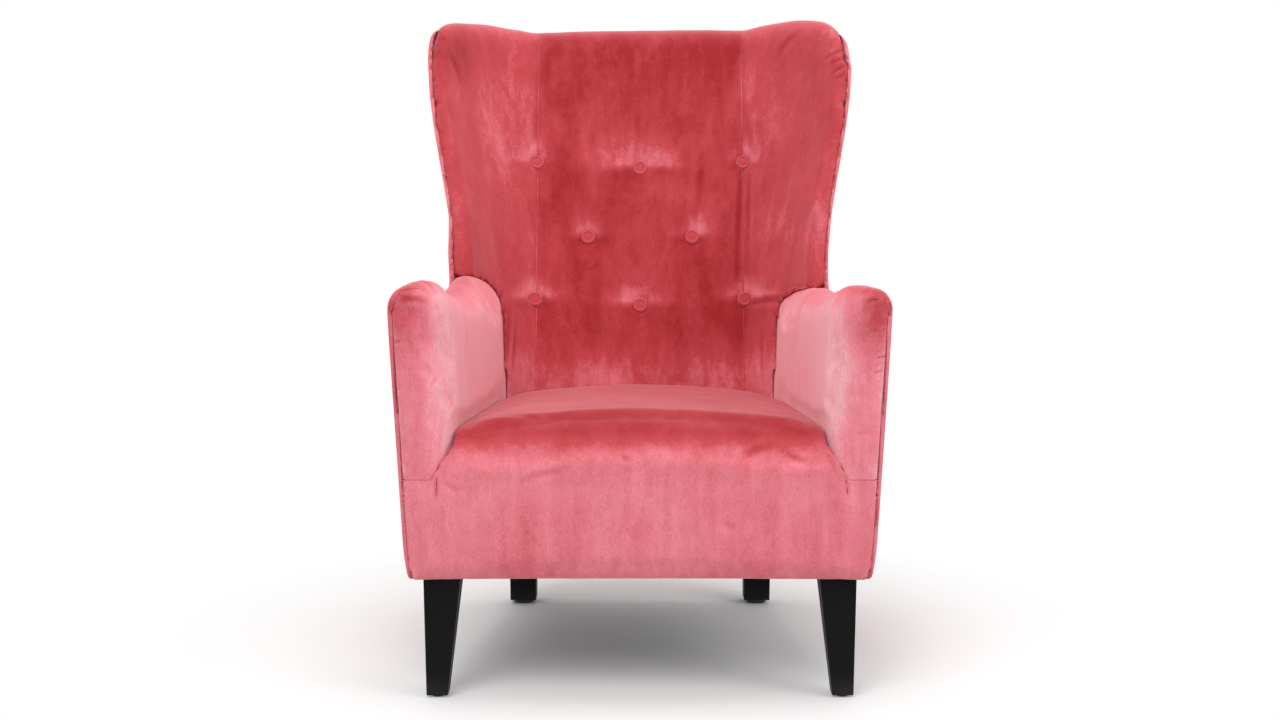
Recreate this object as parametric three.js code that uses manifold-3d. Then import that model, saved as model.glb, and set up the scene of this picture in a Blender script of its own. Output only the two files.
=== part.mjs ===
// Wing armchair with a buttoned inside back, tight seat and tapered legs.
// Millimetres, +Z up. The front faces -Y. The origin is on the floor, below the middle of the chair.

import * as THREE from 'three';
import { mergeVertices } from 'three/addons/utils/BufferGeometryUtils.js';
import Module from 'manifold-3d';

const wasm = await Module();
wasm.setup();

// Overall outline
const overallHeight = 1103;
const overallDepth = 820;
const legHeight = 190;
const frontHalfWidth = 359;
const rearHalfWidth = 272;
const armHalfWidth = 381;
const crestHalfWidth = 325;
const rearRakeShare = 0.1585;

// Arms
const armHeight = 642;
const armRollHeight = 42;
const armThicknessFront = 84;
const armThicknessRear = 66;
const armLength = 560;
const armRollShare = 0.5;
const armDip = 22;
const innerRollDrop = 28;
const frontRollDepth = 60;
const frontRollInset = 38;
const frontRollDrop = 6;
const frontRollFlat = 32;

// Wings
const wingFootShare = 0.5366;
const wingLeanShare = 0.1707;
const flareWidth = 41;
const flareStartRise = 18;
const flareRise = 360;
const noseWidth = 38;
const noseDepth = 14;
const wingCornerHeight = 72;
const wingSweepLength = 70;
const wingSweepHeight = 80;

// Inside back
const backFootShare = 0.6707;
const backLeanShare = 0.2073;
const lumbarFullness = 8;
const seamHalfWidth = 195;
const crestDip = 4;
const crestFrontRoll = 34;
const crestRearRoll = 24;
const crestPadding = 40;

// Buttons and their tufts
const buttonDiameter = 26;
const buttonHeight = 9;
const buttonEdge = 1.5;
const buttonRimHeight = 3;
const buttonRimWidth = 4.4;
const buttonDish = 1.1;
const buttonSeatDepth = 3;
const buttonSpacing = 98;
const topRowHeight = 841;
const middleRowHeight = 711;
const bottomRowHeight = 584;
const outerButtonRise = 11;
const tuftDepth = 13;
const tuftRadius = 62;

// Seat and front border
const seatHeight = 440;
const seatCrown = 20;
const seatRearFall = 9;
const seatFrontEdgeHeight = 366;
const waterfallDepth = 62;
const seatBaseHeight = 318;
const shelfDrop = 32;
const seatRearRoll = 24;
const borderHeight = 156;
const borderThickness = 22;
const borderEdgeRound = 6;
const skirtWidth = 32;
const skirtDepth = 60;
const skirtHeight = 62;

// Outside panels and covers
const panelThickness = 8;
const panelEdgeInset = 3;
const outsideBackThickness = 6;
const dustCoverThickness = 1.2;

// Timber frame
const railThickness = 20;
const railHeight = 90;
const postWidth = 30;
const postDepth = 45;
const frontPostWidth = 35;
const sideTimber = 22;
const armRailHeight = 45;
const armRailDrop = 30;
const lowerRailHeight = 60;
const lowerRailBottom = 412;
const middleRailHeight = 45;
const middleRailBottom = 720;
const topRailHeight = 60;
const blockLength = 92;
const blockThickness = 42;
const blockCorner = 14;
const armPadThickness = 34;
const wingFrameSetback = 20;
const wingHoleWidth = 90;
const wingHoleHeightShare = 0.534;
const wingHoleSillShare = 0.255;

// Seat springs
const springCount = 5;
const springWire = 3.5;
const springSpacing = 86;
const springWidth = 52;
const springPitch = 62;
const springArch = 22;
const springTail = 16;

// Legs and their fittings
const frontLegTop = 57;
const frontLegFoot = 33;
const rearLegTop = 53;
const rearLegFoot = 49;
const frontLegSetback = 25;
const rearLegSetback = 12;
const legSideInset = 25;
const legEdge = 1.5;
const frontPlumbShare = 0.8;
const frontGlideDiameter = 22;
const frontGlideHeight = 4;
const rearGlideDiameter = 38;
const rearGlideHeight = 8;
const glideRound = 1.5;
const glideNailDiameter = 3;
const glideNailLength = 14;
const plateThickness = 2.5;
const plateWidth = 48;
const plateCorner = 6;
const plateScrewHole = 4.5;
const plateScrewInset = 8;
const boltDiameter = 8;
const boltInLeg = 32;
const boltInBlock = 28;

// Clearances
const gap = 0.3;
const slack = 0.8;
const overrun = 20;

// Sampling of the surfaces
const backRows = 18;
const backColumns = 24;
const wingColumns = 13;
const wingRearRows = 6;
const rollSteps = 4;
const armDipSteps = 7;
const roundSides = 16;
const cornerSteps = 8;
const wingLevels = 9;
const wingStations = 3;
const backFootColumns = 52;
const outsideBackRows = 4;
const buttonRimSteps = 2;
const springWaveSteps = 5;
const springSides = 3;
const plateCornerSteps = 3;

// Places that follow from the sizes
const frontY = -overallDepth / 2;
const crestY = overallDepth / 2;
const rearRake = overallDepth * rearRakeShare;
const wingFootSetback = overallDepth * wingFootShare;
const wingLean = overallDepth * wingLeanShare;
const backFootSetback = overallDepth * backFootShare;
const backLean = overallDepth * backLeanShare;
const armSpring = armHeight - armRollHeight;
const armRailTopHeight = armSpring - armRailDrop;
const borderTop = legHeight + borderHeight;
const railBottom = legHeight + plateThickness + 2 * gap;
const railTop = railBottom + railHeight;
const armRearY = frontY + armLength;
const shelfHeight = seatHeight - shelfDrop;
const frameTop = overallHeight - crestPadding;
const crestSeam = overallHeight - crestRearRoll;
const padInset = panelThickness + gap;

function mix(start, end, share) {
  return start + (end - start) * share;
}

function shareOf(value, start, end) {
  return (value - start) / (end - start);
}

function clampShare(share) {
  return Math.min(Math.max(share, 0), 1);
}

function smoothShare(share) {
  const held = clampShare(share);
  return held * held * (3 - 2 * held);
}

// Quarter round: how far a corner has fallen when it is a given share of its length from its edge.
function roundFall(share) {
  const rest = 1 - clampShare(share);
  return 1 - Math.sqrt(1 - rest * rest);
}

// Outside of the body. A section is straight in plan, from the front edge to the rear corner.

function riseShare(z) {
  return shareOf(z, legHeight, crestSeam);
}

function rearY(z) {
  return mix(crestY - rearRake, crestY, riseShare(z));
}

function rearX(z) {
  return mix(rearHalfWidth, crestHalfWidth, riseShare(z));
}

function frontX(z) {
  return mix(frontHalfWidth, armHalfWidth, shareOf(z, legHeight, armSpring));
}

function wingEdgeY(z) {
  return frontY + wingFootSetback + wingLean * shareOf(z, armHeight, overallHeight);
}

function outerX(y, z) {
  const straight = mix(frontX(z), rearX(z), shareOf(y, frontY, rearY(z)));
  const flare = smoothShare(shareOf(z, armHeight + flareStartRise, armHeight + flareStartRise + flareRise));
  return straight + flareWidth * flare * shareOf(y, rearY(z), wingEdgeY(z));
}

function panelInnerX(y, z) {
  return outerX(y, z) - panelThickness;
}

function padOuterX(y, z) {
  return outerX(y, z) - padInset;
}

function frameInnerX(y, z) {
  return panelInnerX(y, z) - slack - sideTimber;
}

function armInnerX(y, z) {
  return outerX(y, z) - mix(armThicknessFront, armThicknessRear, shareOf(y, frontY, armRearY));
}

// Where the roll of the arm springs from the outside. It falls at the front corner and dips before the wing.
function armSpringZ(y) {
  const rollEnd = frontY + frontRollDepth;
  const corner = frontRollDrop * roundFall(shareOf(y, frontY, rollEnd));
  const hollow = Math.sin(Math.PI * clampShare(shareOf(y, rollEnd, wingEdgeY(armHeight))));
  return armSpring - corner - armDip * hollow * hollow;
}

// Rear of the body: the outside back leans, and the timber stands just in front of it.

function rearTimberY(z) {
  return rearY(z) - outsideBackThickness - slack;
}

function frontTimberY(z) {
  return rearTimberY(z) - postDepth;
}

// Inside back: flat across the middle, then curving forward to the noses of the wings.

function backY(z) {
  const share = shareOf(z, seatHeight, overallHeight);
  const lumbar = lumbarFullness * Math.sin(Math.PI * clampShare(share));
  return frontY + backFootSetback + backLean * share - lumbar;
}

const wingEaseShare = 0.35;
const noseStartShare = 0.8;
const rearCornerShare = 0.4;
const wingCornerStartShare = 0.55;

function noseX(z) {
  return outerX(wingEdgeY(z), z) - noseWidth;
}

function wingCurve(share) {
  return wingEaseShare * share + (1 - wingEaseShare) * share * share;
}

function smoothInsideY(x, z) {
  const share = shareOf(Math.abs(x), seamHalfWidth, noseX(z));
  return mix(backY(z), wingEdgeY(z) + noseDepth, wingCurve(clampShare(share)));
}

// Each row lists its height and its places across, in units of the button spacing.
const buttonRows = [
  { height: topRowHeight, places: [-2, 0, 2] },
  { height: middleRowHeight, places: [-1, 1] },
  { height: bottomRowHeight, places: [-2, 0, 2] },
];

function buttonPlaces() {
  const places = [];
  for (const row of buttonRows) {
    for (const place of row.places) {
      const rise = Math.abs(place) > 1 ? outerButtonRise : 0;
      places.push({ x: place * buttonSpacing, z: row.height + rise - outerButtonRise / 2 });
    }
  }
  return places;
}

function tuftFall(x, z) {
  let fall = 0;
  for (const place of buttonPlaces()) {
    const distance = Math.hypot(x - place.x, z - place.z);
    const share = clampShare(1 - distance / tuftRadius);
    fall = Math.max(fall, tuftDepth * share * share * (3 - 2 * share));
  }
  return fall;
}

function insideY(x, z) {
  return smoothInsideY(x, z) + tuftFall(x, z);
}

function crestZ(x) {
  const share = clampShare(Math.abs(x) / seamHalfWidth);
  return overallHeight - crestDip * (1 - smoothShare(share / 2));
}

// Solids

// Joins closed loops of equal length into a solid, with a cap at each end. Each cell is split along
// its shorter diagonal, so that the left and right of the chair are alike.
function loftSolid(loops) {
  const count = loops[0].length;
  const positions = [];
  for (const loop of loops) {
    for (const point of loop) {
      positions.push(point.x, point.y, point.z);
    }
  }
  const faces = [];
  for (let step = 0; step + 1 < loops.length; step++) {
    for (let k = 0; k < count; k++) {
      const next = (k + 1) % count;
      const a = step * count + k;
      const b = step * count + next;
      const c = (step + 1) * count + next;
      const d = (step + 1) * count + k;
      const rising = loops[step][k].distanceTo(loops[step + 1][next]);
      const falling = loops[step][next].distanceTo(loops[step + 1][k]);
      faces.push(...(rising < falling ? [[a, b, c], [a, c, d]] : [[a, b, d], [b, c, d]]));
    }
  }
  addCap(faces, loops[0], 0, true);
  addCap(faces, loops[loops.length - 1], (loops.length - 1) * count, false);
  return closedGeometry(positions, faces);
}

function loopNormal(loop) {
  const normal = new THREE.Vector3();
  for (let k = 0; k < loop.length; k++) {
    const next = loop[(k + 1) % loop.length];
    normal.add(new THREE.Vector3().crossVectors(loop[k], next));
  }
  return normal.normalize();
}

function addCap(faces, loop, first, reversed) {
  const normal = loopNormal(loop);
  const across = new THREE.Vector3(normal.z, normal.x, normal.y).cross(normal).normalize();
  const up = new THREE.Vector3().crossVectors(normal, across);
  const flat = loop.map((point) => new THREE.Vector2(point.dot(across), point.dot(up)));
  for (const [a, b, c] of THREE.ShapeUtils.triangulateShape(flat, [])) {
    faces.push(reversed ? [first + c, first + b, first + a] : [first + a, first + b, first + c]);
  }
}

function signedVolume(positions, faces) {
  const corner = (k) => new THREE.Vector3().fromArray(positions, 3 * k);
  let volume = 0;
  for (const [a, b, c] of faces) {
    volume += corner(a).dot(corner(b).cross(corner(c)));
  }
  return volume;
}

function closedGeometry(positions, faces) {
  const outward = signedVolume(positions, faces) > 0;
  const geometry = new THREE.BufferGeometry();
  geometry.setAttribute('position', new THREE.Float32BufferAttribute(positions, 3));
  geometry.setIndex(faces.flatMap(([a, b, c]) => (outward ? [a, b, c] : [a, c, b])));
  return geometry;
}

function toManifold(geometry) {
  const bare = geometry.clone();
  bare.deleteAttribute('normal');
  bare.deleteAttribute('uv');
  const merged = mergeVertices(bare);
  const mesh = new wasm.Mesh({
    numProp: 3,
    vertProperties: new Float32Array(merged.attributes.position.array),
    triVerts: new Uint32Array(merged.index.array),
  });
  return new wasm.Manifold(mesh);
}

function fromManifold(solid) {
  const mesh = solid.getMesh();
  const geometry = new THREE.BufferGeometry();
  geometry.setAttribute('position', new THREE.BufferAttribute(new Float32Array(mesh.vertProperties), 3));
  geometry.setIndex(new THREE.BufferAttribute(new Uint32Array(mesh.triVerts), 1));
  return geometry;
}

function cut(geometry, tools) {
  let solid = toManifold(geometry);
  for (const tool of tools) {
    solid = solid.subtract(toManifold(tool));
  }
  return fromManifold(solid);
}

function common(geometry, other) {
  return fromManifold(toManifold(geometry).intersect(toManifold(other)));
}

function mirrored(geometry) {
  const copy = geometry.clone();
  copy.scale(-1, 1, 1);
  const index = copy.index.array;
  for (let k = 0; k < index.length; k += 3) {
    [index[k + 1], index[k + 2]] = [index[k + 2], index[k + 1]];
  }
  return copy;
}

function vector(x, y, z) {
  return new THREE.Vector3(x, y, z);
}

function steps(count) {
  return Array.from({ length: count + 1 }, (_, k) => k / count);
}

// A timber of four sides between two levels, its corners given as [x, y] at any height.
function timberBetween(levels, cornersAt) {
  return loftSolid(levels.map((z) => cornersAt(z).map(([x, y]) => vector(x, y, z))));
}

function box(minimum, maximum) {
  const [x0, y0, z0] = minimum;
  const [x1, y1, z1] = maximum;
  return timberBetween([z0, z1], () => [[x0, y0], [x1, y0], [x1, y1], [x0, y1]]);
}

function roundRod(diameter, bottom, top) {
  const rod = new THREE.CylinderGeometry(diameter / 2, diameter / 2, top - bottom, roundSides);
  rod.rotateX(Math.PI / 2);
  rod.translate(0, 0, (top + bottom) / 2);
  return rod;
}

// Outside panel: one side of the chair, with the arm and the wing in one sweep.

const frontRollShares = [0, 0.03, 0.1, 0.22, 0.4, 0.65, 1];

function panelOutline(grow) {
  const front = frontY + panelEdgeInset - grow;
  const rollEnd = frontY + frontRollDepth;
  const armTop = armSpring + grow;
  const edgeY = (z) => wingEdgeY(z) + panelEdgeInset - grow;
  const sweepStart = edgeY(armTop) - wingSweepLength;
  const sweepTop = armTop + wingSweepHeight;
  const cornerFoot = overallHeight - wingCornerHeight;
  const crest = crestSeam + grow;
  const outline = new THREE.Shape();
  outline.moveTo(front, legHeight - grow);
  for (const share of frontRollShares) {
    const y = mix(front, rollEnd, share);
    outline.lineTo(y, armSpringZ(y) + grow);
  }
  for (const share of steps(armDipSteps).slice(1)) {
    const y = mix(rollEnd, sweepStart, share);
    outline.lineTo(y, armSpringZ(y) + grow);
  }
  outline.quadraticCurveTo(edgeY(armTop), armTop, edgeY(sweepTop), sweepTop);
  outline.lineTo(edgeY(cornerFoot), cornerFoot);
  outline.quadraticCurveTo(edgeY(crest), crest, edgeY(crest) + wingCornerHeight, crest);
  outline.lineTo(rearY(crest) + grow, crest);
  outline.lineTo(rearY(legHeight) + grow, legHeight - grow);
  return outline;
}

// Levels and stations that every layer of the side shares, so that the layers run parallel.
function sideLevels() {
  const low = [legHeight - overrun, railTop, (railTop + armHeight) / 2, armHeight];
  const high = steps(wingLevels).slice(1).map((share) => mix(armHeight, overallHeight + overrun, share));
  return [...low, ...high];
}

function sideStations(z) {
  const between = steps(wingStations).map((share) => mix(wingEdgeY(z), rearY(z), share));
  return [frontY - overrun, ...between, rearY(z) + overrun];
}

// A layer of the side, between two depths measured inwards from the outside.
function sideLayer(outerDepth, innerDepth, outline) {
  const loops = sideLevels().map((z) => {
    const outer = sideStations(z).map((y) => vector(outerX(y, z) - outerDepth, y, z));
    const inner = sideStations(z).map((y) => vector(outerX(y, z) - innerDepth, y, z));
    return [...outer, ...inner.reverse()];
  });
  const profile = new THREE.ExtrudeGeometry(outline, {
    depth: 2 * armHalfWidth,
    bevelEnabled: false,
    curveSegments: cornerSteps,
  });
  profile.applyMatrix4(new THREE.Matrix4().makeBasis(vector(0, 1, 0), vector(0, 0, 1), vector(1, 0, 0)));
  return common(loftSolid(loops), profile);
}

function panelSolid(grow, outward) {
  return sideLayer(-outward, panelThickness + grow, panelOutline(grow));
}

function outsidePanel() {
  return panelSolid(0, 0);
}

// Front border and seat

function frontBorder() {
  const levels = [legHeight, legHeight + borderEdgeRound / 2, legHeight + borderEdgeRound, borderTop];
  return timberBetween(levels, (z) => {
    const y0 = frontY + borderEdgeRound * roundFall(shareOf(z, legHeight, legHeight + borderEdgeRound));
    const y1 = frontY + borderThickness;
    return [[-padOuterX(y0, z), y0], [padOuterX(y0, z), y0], [padOuterX(y1, z), y1], [-padOuterX(y1, z), y1]];
  });
}

function borderZone() {
  const reach = armHalfWidth + overrun;
  return box(
    [-reach, frontY - overrun, legHeight - overrun],
    [reach, frontY + borderThickness + gap, borderTop + gap],
  );
}

function seatHalfWidth(y, z) {
  const skirt = smoothShare(shareOf(z, borderTop + skirtHeight, borderTop));
  const fade = smoothShare(shareOf(y, frontY + skirtDepth, frontY));
  return armInnerX(y, z) - slack + skirtWidth * skirt * fade;
}

function seatTop(across, y) {
  const halfWidth = seatHalfWidth(y, seatHeight);
  const fall = seatRearFall * smoothShare(shareOf(y, 0, armRearY));
  const crown = seatHeight - fall - seatCrown * across * across;
  const front = 1 - roundFall(shareOf(y, frontY, frontY + waterfallDepth));
  const edge = mix(seatFrontEdgeHeight, crown, front);
  const shelfY = smoothInsideY(across * halfWidth, shelfHeight) - slack;
  const rear = 1 - roundFall(shareOf(y, shelfY, shelfY - seatRearRoll));
  return mix(shelfHeight - gap, edge, rear);
}

const waterfallShares = [0, 0.04, 0.12, 0.25, 0.42, 0.65, 1];
const seatMiddleShares = [0.2, 0.45, 0.7, 0.86];
const seatRearShares = [0.1, 0.35, 0.6, 0.8, 0.93, 1];
const seatAcrossShares = [-1, -0.96, -0.85, -0.62, -0.32, 0, 0.32, 0.62, 0.85, 0.96, 1];
const seatSideShares = [0, 0.35, 0.6, 0.8];

function seatStations() {
  const waterfallEnd = frontY + waterfallDepth;
  const rollStart = smoothInsideY(armInnerX(armRearY, shelfHeight), shelfHeight) - seatRearRoll - slack;
  const shelfStart = backY(shelfHeight) - slack;
  const seatRear = frontTimberY(seatBaseHeight) - slack;
  return [
    ...waterfallShares.map((share) => mix(frontY, waterfallEnd, share)),
    ...seatMiddleShares.map((share) => mix(waterfallEnd, rollStart, share)),
    ...seatRearShares.map((share) => mix(rollStart, shelfStart, share)),
    seatRear,
  ];
}

function seatLoop(y, grow) {
  const loop = [];
  const side = (direction) => seatSideShares.map((share) => {
    const z = mix(seatBaseHeight, seatTop(direction, y), share);
    return vector(direction * (seatHalfWidth(y, z) + grow), y - grow, z);
  });
  loop.push(...side(1));
  for (const across of [...seatAcrossShares].reverse()) {
    const z = seatTop(across, y);
    loop.push(vector(across * (seatHalfWidth(y, z) + grow), y - grow, z + grow));
  }
  loop.push(...side(-1).reverse());
  return loop;
}

function seatSolid(grow) {
  return loftSolid(seatStations().map((y) => seatLoop(y, grow)));
}

// The space of the back's foot, which stands on the shelf along the rear of the seat.
function backFootZone() {
  const reach = armHalfWidth;
  const bottom = shelfHeight - gap;
  const top = seatHeight + overrun;
  const loops = steps(backFootColumns).map((share) => {
    const x = mix(-reach, reach, share);
    return [
      vector(x, smoothInsideY(x, bottom) - slack, bottom),
      vector(x, smoothInsideY(x, top) - slack, top),
      vector(x, crestY, top),
      vector(x, crestY, bottom),
    ];
  });
  return loftSolid(loops);
}

function seatCushion() {
  return cut(seatSolid(0), [borderZone(), backFootZone()]);
}

// Arm pads

function armLoop(y, bottom, outerDepth, grow) {
  const inset = roundFall(shareOf(y, frontY, frontY + frontRollDepth));
  const innerX = (z) => armInnerX(y, z) + frontRollInset * inset - grow;
  const spring = armSpringZ(y) + gap;
  const innerFoot = spring - innerRollDrop;
  const middle = (bottom + innerFoot) / 2;
  const innerSpring = innerX(innerFoot);
  const outerSpring = outerX(y, spring) + grow;
  const crest = mix(innerSpring, outerSpring, armRollShare);
  const rise = mix(armRollHeight, frontRollFlat, inset) + grow;
  const loop = [
    vector(outerX(y, bottom) - outerDepth, y, bottom),
    vector(innerX(bottom), y, bottom),
    vector(innerX(middle), y, middle),
  ];
  for (const share of steps(rollSteps)) {
    const angle = share * Math.PI / 2;
    const x = crest - (crest - innerSpring) * Math.cos(angle);
    loop.push(vector(x, y, innerFoot + (innerRollDrop + rise) * Math.sin(angle)));
  }
  for (const share of steps(rollSteps).reverse().slice(1)) {
    const angle = share * Math.PI / 2;
    const x = crest + (outerSpring - crest) * Math.cos(angle);
    loop.push(vector(x, y, spring + rise * Math.sin(angle)));
  }
  loop.push(vector(outerX(y, spring) - outerDepth, y, spring));
  return loop;
}

const armLengthShares = [0.14, 0.28, 0.42, 0.56, 0.7, 0.84, 1];

function armSolid(bottom, outerDepth, grow) {
  const rollEnd = frontY + frontRollDepth;
  const stations = [
    ...frontRollShares.map((share) => mix(frontY, rollEnd, share)),
    ...armLengthShares.map((share) => mix(rollEnd, armRearY + grow, share)),
  ];
  return loftSolid(stations.map((y) => armLoop(y, bottom, outerDepth, grow)));
}

// The hollow behind the arm pad holds the front post and the arm rail.
function armHollow() {
  const levels = [railTop - overrun, armRailTopHeight + gap];
  return timberBetween(levels, (z) => {
    const y0 = frontY + borderThickness;
    const y1 = armRearY + overrun;
    return [
      [armInnerX(y0, z) + armPadThickness, y0],
      [armInnerX(y1, z) + armPadThickness, y1],
      [outerX(y1, z) + overrun, y1],
      [outerX(y0, z) + overrun, y0],
    ];
  });
}

function armPad() {
  const tools = [
    borderZone(),
    panelSolid(gap, overrun),
    seatSolid(gap),
    armHollow(),
    wingTimberZone(armRailTopHeight),
    rearTimberZone(),
  ];
  return cut(armSolid(railTop + gap, padInset, 0), tools);
}

// Inside back and wing pads

const crestHoldShare = 0.42;

// One station of a padded back: up the front face, over the rolled crest and down the rear face.
function padLoop(frontAt, rearAt, crest, rearRows) {
  const loop = [];
  const frontFoot = crest - crestFrontRoll;
  const rearFoot = crest - crestRearRoll;
  for (const share of steps(backRows)) {
    loop.push(frontAt(mix(shelfHeight, frontFoot, share)));
  }
  const across = (z, fromFront, distance) => {
    const front = frontAt(z);
    const rear = rearAt(z);
    const share = Math.min(distance / front.distanceTo(rear), crestHoldShare);
    return front.lerp(rear, fromFront ? share : 1 - share).setZ(z);
  };
  const rolled = (foot, roll, fromFront, share) => {
    const angle = share * Math.PI / 2;
    return across(foot + roll * Math.sin(angle), fromFront, roll * (1 - Math.cos(angle)));
  };
  for (const share of steps(rollSteps).slice(1)) {
    loop.push(rolled(frontFoot, crestFrontRoll, true, share));
  }
  for (const share of steps(rollSteps).reverse()) {
    loop.push(rolled(rearFoot, crestRearRoll, false, share));
  }
  for (const share of steps(rearRows).slice(1)) {
    loop.push(rearAt(mix(rearFoot, shelfHeight, share)));
  }
  return loop;
}

function insideBackLoop(x) {
  const frontAt = (z) => vector(x, insideY(x, z), z);
  const rearAt = (z) => vector(x, rearTimberY(z) + slack - gap, z);
  return padLoop(frontAt, rearAt, crestZ(x), 1);
}

// The space of the posts and rails behind the pads, open to the rear.
function rearTimberZone() {
  const reach = crestHalfWidth + flareWidth + overrun;
  return timberBetween([railTop - overrun, frameTop + gap], (z) => {
    const front = frontTimberY(z) - gap;
    const rear = rearY(z) + overrun;
    return [[-reach, front], [reach, front], [reach, rear], [-reach, rear]];
  });
}

function insideBack() {
  const reach = seamHalfWidth - gap / 2;
  const loops = steps(backColumns).map((share) => insideBackLoop(mix(-reach, reach, share)));
  return cut(loftSolid(loops), [rearTimberZone(), ...buttonPockets()]);
}

function wingFrontPoint(share, z) {
  const edge = wingEdgeY(z);
  if (share <= noseStartShare) {
    const x = mix(seamHalfWidth + gap / 2, noseX(z), share / noseStartShare);
    return vector(x, insideY(x, z), z);
  }
  const angle = shareOf(share, noseStartShare, 1) * Math.PI / 2;
  const x = mix(noseX(z), padOuterX(edge, z), 1 - Math.cos(angle));
  return vector(x, edge + noseDepth * (1 - Math.sin(angle)), z);
}

// The pad runs out over half the thickness of the panel, and the panel then cuts it.
function wingOuterX(y, z) {
  return outerX(y, z) - panelThickness / 2;
}

function wingRearPoint(share, z) {
  const rear = rearTimberY(z) + slack - gap;
  if (share <= rearCornerShare) {
    const x = mix(seamHalfWidth + gap / 2, wingOuterX(rear, z), share / rearCornerShare);
    return vector(x, rear, z);
  }
  const y = mix(rear, wingEdgeY(z) + noseDepth, shareOf(share, rearCornerShare, 1));
  return vector(wingOuterX(y, z), y, z);
}

function wingCrest(share) {
  const corner = clampShare(shareOf(share, wingCornerStartShare, 1));
  const fall = wingCornerHeight * (1 - Math.sqrt(1 - corner * corner * corner));
  return crestZ(seamHalfWidth) + crestDip / 2 * smoothShare(share / wingCornerStartShare) - fall;
}

function wingSolid() {
  const loops = steps(wingColumns).map((share) => padLoop(
    (z) => wingFrontPoint(share, z),
    (z) => wingRearPoint(share, z),
    wingCrest(share),
    wingRearRows,
  ));
  return loftSolid(loops);
}

const frameOuterDepth = panelThickness + slack;
const frameInnerDepth = frameOuterDepth + sideTimber;

function wingFrameTop() {
  return overallHeight - wingCornerHeight;
}

function wingFrameOutline(bottom, rearAt, grow) {
  const edgeY = (z) => wingEdgeY(z) + wingFrameSetback - grow;
  const top = wingFrameTop() + grow;
  const outline = new THREE.Shape();
  outline.moveTo(edgeY(armHeight), bottom);
  outline.lineTo(edgeY(armHeight), armHeight);
  outline.lineTo(edgeY(top - wingCornerHeight), top - wingCornerHeight);
  outline.quadraticCurveTo(edgeY(top), top, edgeY(top) + wingCornerHeight, top);
  outline.lineTo(rearAt(top), top);
  outline.lineTo(rearAt(bottom), bottom);
  return outline;
}

// The space of the wing frame and of the arm rail behind the arm, open to the outside panel.
function wingTimberZone(bottom) {
  const rearAt = (z) => rearY(z) + overrun / 2;
  const outline = wingFrameOutline(bottom, rearAt, gap);
  return sideLayer(-overrun, frameInnerDepth + gap, outline);
}

function wingPad() {
  return cut(wingSolid(), [
    rearTimberZone(),
    wingTimberZone(shelfHeight - overrun),
    armSolid(shelfHeight - overrun, -overrun, gap),
    panelSolid(gap, overrun),
    ...buttonPockets(),
  ]);
}

// Covered buttons, each set into a flat pocket at the foot of its tuft

function backTilt() {
  return Math.atan2(backLean, overallHeight - seatHeight);
}

function buttonMatrix(place) {
  const matrix = new THREE.Matrix4().makeRotationX(Math.PI / 2 - backTilt());
  return matrix.setPosition(place.x, insideY(place.x, place.z) + buttonSeatDepth, place.z);
}

function buttonPockets() {
  return buttonPlaces().map((place) => {
    const pocket = roundRod(buttonDiameter + 2 * gap, -gap, tuftRadius);
    return pocket.applyMatrix4(buttonMatrix(place));
  });
}

function coveredButton() {
  const radius = buttonDiameter / 2;
  const rim = buttonRimWidth / 2;
  const rimFoot = buttonHeight - buttonRimHeight;
  const profile = [[0, 0], [radius - buttonEdge, 0], [radius, buttonEdge]];
  for (const share of steps(buttonRimSteps)) {
    const angle = share * Math.PI / 2;
    profile.push([radius - rim + rim * Math.cos(angle), rimFoot + buttonRimHeight * Math.sin(angle)]);
  }
  profile.push([radius - buttonRimWidth, buttonHeight - buttonDish]);
  profile.push([0, buttonHeight - buttonDish / 2]);
  const button = new THREE.LatheGeometry(profile.map(([x, y]) => new THREE.Vector2(x, y)), roundSides);
  return button.rotateX(Math.PI / 2);
}

// Timber frame

function crossRail(y0, y1, z0, z1) {
  return timberBetween([z0, z1], (z) => {
    const x0 = panelInnerX(y0, z) - slack;
    const x1 = panelInnerX(y1, z) - slack;
    return [[-x0, y0], [x0, y0], [x1, y1], [-x1, y1]];
  });
}

const frontRailY = frontY + borderThickness + gap;
const rearRailY = rearTimberY(railBottom) - railThickness;

function frontRail() {
  return crossRail(frontRailY, frontRailY + railThickness, railBottom, railTop);
}

function rearRail() {
  return crossRail(rearRailY, rearRailY + railThickness, railBottom, railTop);
}

function sideRail() {
  const y0 = frontRailY + railThickness + gap;
  const y1 = rearRailY - gap;
  return timberBetween([railBottom, railTop], (z) => {
    const x0 = panelInnerX(y0, z) - slack;
    const x1 = panelInnerX(y1, z) - slack;
    return [[x0 - railThickness, y0], [x0, y0], [x1, y1], [x1 - railThickness, y1]];
  });
}

// A three-cornered block with blunt ends, glued into a corner of the seat frame.
function cornerBlock(innerFaceY, direction) {
  const near = innerFaceY + direction * gap;
  const far = near + direction * blockLength;
  return timberBetween([railBottom, railBottom + blockThickness], (z) => {
    const face = (y) => panelInnerX(y, z) - slack - railThickness - gap;
    return [
      [face(near), near],
      [face(near) - blockLength, near],
      [face(near) - blockLength, near + direction * blockCorner],
      [face(far) - blockCorner, far],
      [face(far), far],
    ];
  });
}

function frontPost() {
  const y0 = frontRailY;
  const y1 = frontRailY + postDepth;
  return timberBetween([railTop + gap, armRailTopHeight - armRailHeight - gap], (z) => {
    const x0 = panelInnerX(y0, z) - slack;
    const x1 = panelInnerX(y1, z) - slack;
    return [[x0 - frontPostWidth, y0], [x0, y0], [x1, y1], [x1 - frontPostWidth, y1]];
  });
}

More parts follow.
